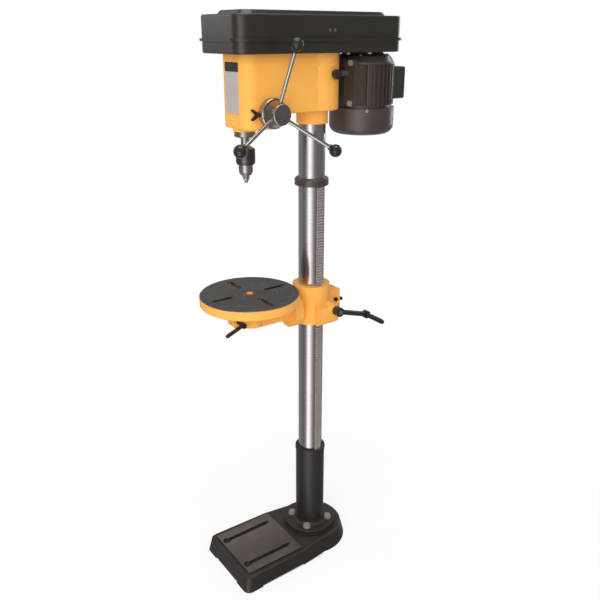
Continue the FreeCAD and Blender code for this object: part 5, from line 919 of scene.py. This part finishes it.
def buildFloor():
    size = studio["floorSize"] / 2
    mesh = bpy.data.meshes.new("floor")
    mesh.from_pydata([(-size, -size, 0), (size, -size, 0), (size, size, 0), (-size, size, 0)],
                     [], [(0, 1, 2, 3)])
    floor = bpy.data.objects.new("floor", mesh)
    bpy.context.scene.collection.objects.link(floor)
    material = bpy.data.materials.new("floorPaper")
    material.use_nodes = True
    tree = material.node_tree
    tree.nodes.clear()
    diffuse = addNode(tree, "ShaderNodeBsdfDiffuse", 0, 100)
    diffuse.inputs[0].default_value = rgba(studio["floorColour"])
    glow = addNode(tree, "ShaderNodeEmission", 0, -100)
    path = addNode(tree, "ShaderNodeLightPath", -600, 300)
    # no glow on the ground under the base, and plain white away from the machine
    place = addNode(tree, "ShaderNodeTexCoord", -1300, -200)
    split = addNode(tree, "ShaderNodeSeparateXYZ", -1150, -200)
    feed(tree, place.outputs["Object"], split.inputs[0])
    edge = studio["underEdge"]
    rear = studio["underRear"]
    middleY = (baseLow.y + edge + rear) / 2
    across = doMath(tree, "ABSOLUTE", split.outputs["X"], 0.0, -950, -100)
    across = doMath(tree, "GREATER_THAN", across, baseHigh.x - edge, -800, -100)
    along = doMath(tree, "SUBTRACT", split.outputs["Y"], middleY, -950, -300)
    along = doMath(tree, "ABSOLUTE", along, 0.0, -800, -300)
    along = doMath(tree, "GREATER_THAN", along, rear - middleY, -650, -300)
    outside = doMath(tree, "MAXIMUM", across, along, -500, -200)
    away = addNode(tree, "ShaderNodeVectorMath", -950, -500, operation="LENGTH")
    feed(tree, place.outputs["Object"], away.inputs[0])
    near, far = studio["shadowReach"]
    glowShare = rescale(tree, away.outputs["Value"], near, far, studio["floorGlow"], 1.0,
                        -700, -500)
    share = doMath(tree, "MULTIPLY", path.outputs["Is Camera Ray"], glowShare, -400, 300)
    share = doMath(tree, "MULTIPLY", share, outside, -200, 200)
    mix = addNode(tree, "ShaderNodeMixShader", 250, 0)
    feed(tree, share, mix.inputs[0])
    feed(tree, diffuse.outputs[0], mix.inputs[1])
    feed(tree, glow.outputs[0], mix.inputs[2])
    # polished metal sees the room through the floor, so that it looks the same all round
    clear = addNode(tree, "ShaderNodeBsdfTransparent", 250, -200)
    seen = doMath(tree, "MAXIMUM", path.outputs["Is Glossy Ray"],
                  path.outputs["Is Transmission Ray"], 250, 300)
    last = addNode(tree, "ShaderNodeMixShader", 450, 0)
    feed(tree, seen, last.inputs[0])
    feed(tree, mix.outputs[0], last.inputs[1])
    feed(tree, clear.outputs[0], last.inputs[2])
    output = addNode(tree, "ShaderNodeOutputMaterial", 650, 0)
    feed(tree, last.outputs[0], output.inputs[0])
    mesh.materials.append(material)


def turnRamp(tree, turn, stops, x, y):
    # brightness by direction round the room
    ramp = addNode(tree, "ShaderNodeValToRGB", x, y)
    band = ramp.color_ramp
    band.interpolation = "EASE"
    while len(band.elements) < len(stops):
        band.elements.new(0.5)
    for element, (degrees, level) in zip(band.elements, stops):
        element.position = (degrees + 180) / 360
        element.color = (level, level, level, 1)
    feed(tree, turn, ramp.inputs[0])
    return ramp.outputs[0]


def buildWorld():
    world = bpy.data.worlds.new("studio")
    bpy.context.scene.world = world
    world.use_nodes = True
    tree = world.node_tree
    tree.nodes.clear()
    place = addNode(tree, "ShaderNodeTexCoord", -1300, 0)
    split = addNode(tree, "ShaderNodeSeparateXYZ", -1100, 0)
    feed(tree, place.outputs["Generated"], split.inputs[0])
    turn = doMath(tree, "ARCTAN2", split.outputs["Y"], split.outputs["X"], -900, 100)
    turn = rescale(tree, turn, -math.pi, math.pi, 0.0, 1.0, -750, 100)
    level = turnRamp(tree, turn, room, -550, 250)
    # the bright window ends a little above eye level
    cap = rescale(tree, split.outputs["Z"], *studio["windowEdge"], studio["windowPeak"],
                  studio["aboveWindow"], -550, 500)
    level = doMath(tree, "MINIMUM", level, cap, -250, 350)
    paper = turnRamp(tree, turn, backdropTurns, -550, -50)
    low = rescale(tree, split.outputs["Z"], *studio["backdropEdge"], studio["backdrop"], 0.0,
                  -550, -300)
    paper = doMath(tree, "MULTIPLY", paper, low, -250, -100)
    over = rescale(tree, split.outputs["Z"], *studio["overheadEdge"], 0.0, studio["overhead"],
                   -250, -300)
    level = doMath(tree, "MAXIMUM", level, paper, -100, 150)
    level = doMath(tree, "MAXIMUM", level, over, 50, 100)
    path = addNode(tree, "ShaderNodeLightPath", -500, -500)
    seen = doMath(tree, "MAXIMUM", path.outputs["Is Glossy Ray"],
                  path.outputs["Is Transmission Ray"], -250, -500)
    glossy = mixColours(tree, seen, (studio["fill"],) * 3 + (1,), level, 250, 50)
    colour = mixColours(tree, path.outputs["Is Camera Ray"], glossy, (1, 1, 1, 1), 450, 50)
    background = addNode(tree, "ShaderNodeBackground", 650, 0)
    feed(tree, colour, background.inputs["Color"])
    output = addNode(tree, "ShaderNodeOutputWorld", 850, 0)
    feed(tree, background.outputs[0], output.inputs[0])


def buildLamps():
    for name, look in lamps.items():
        lamp = bpy.data.lights.new(name, "AREA")
        lamp.shape = "RECTANGLE"
        lamp.size, lamp.size_y = look["size"]
        lamp.energy = look["power"]
        lamp.color = look["colour"]
        holder = bpy.data.objects.new(name, lamp)
        bpy.context.scene.collection.objects.link(holder)
        holder.location = look["place"]
        holder.visible_glossy = look["mirrored"]
        aim = Vector(look["target"]) - Vector(look["place"])
        holder.rotation_euler = aim.to_track_quat("-Z", "Y").to_euler()


def buildCamera():
    lens = bpy.data.cameras.new("camera")
    lens.lens = cameraLook["lens"]
    lens.sensor_width = cameraLook["sensor"]
    holder = bpy.data.objects.new("camera", lens)
    bpy.context.scene.collection.objects.link(holder)
    holder.location = cameraLook["place"]
    holder.rotation_euler = (math.radians(90 - cameraLook["down"]), 0,
                             math.radians(cameraLook["turn"]))
    bpy.context.scene.camera = holder


buildFloor()
buildWorld()
buildLamps()
buildCamera()
bpy.context.scene.view_settings.view_transform = "Standard"
print("studio ready")
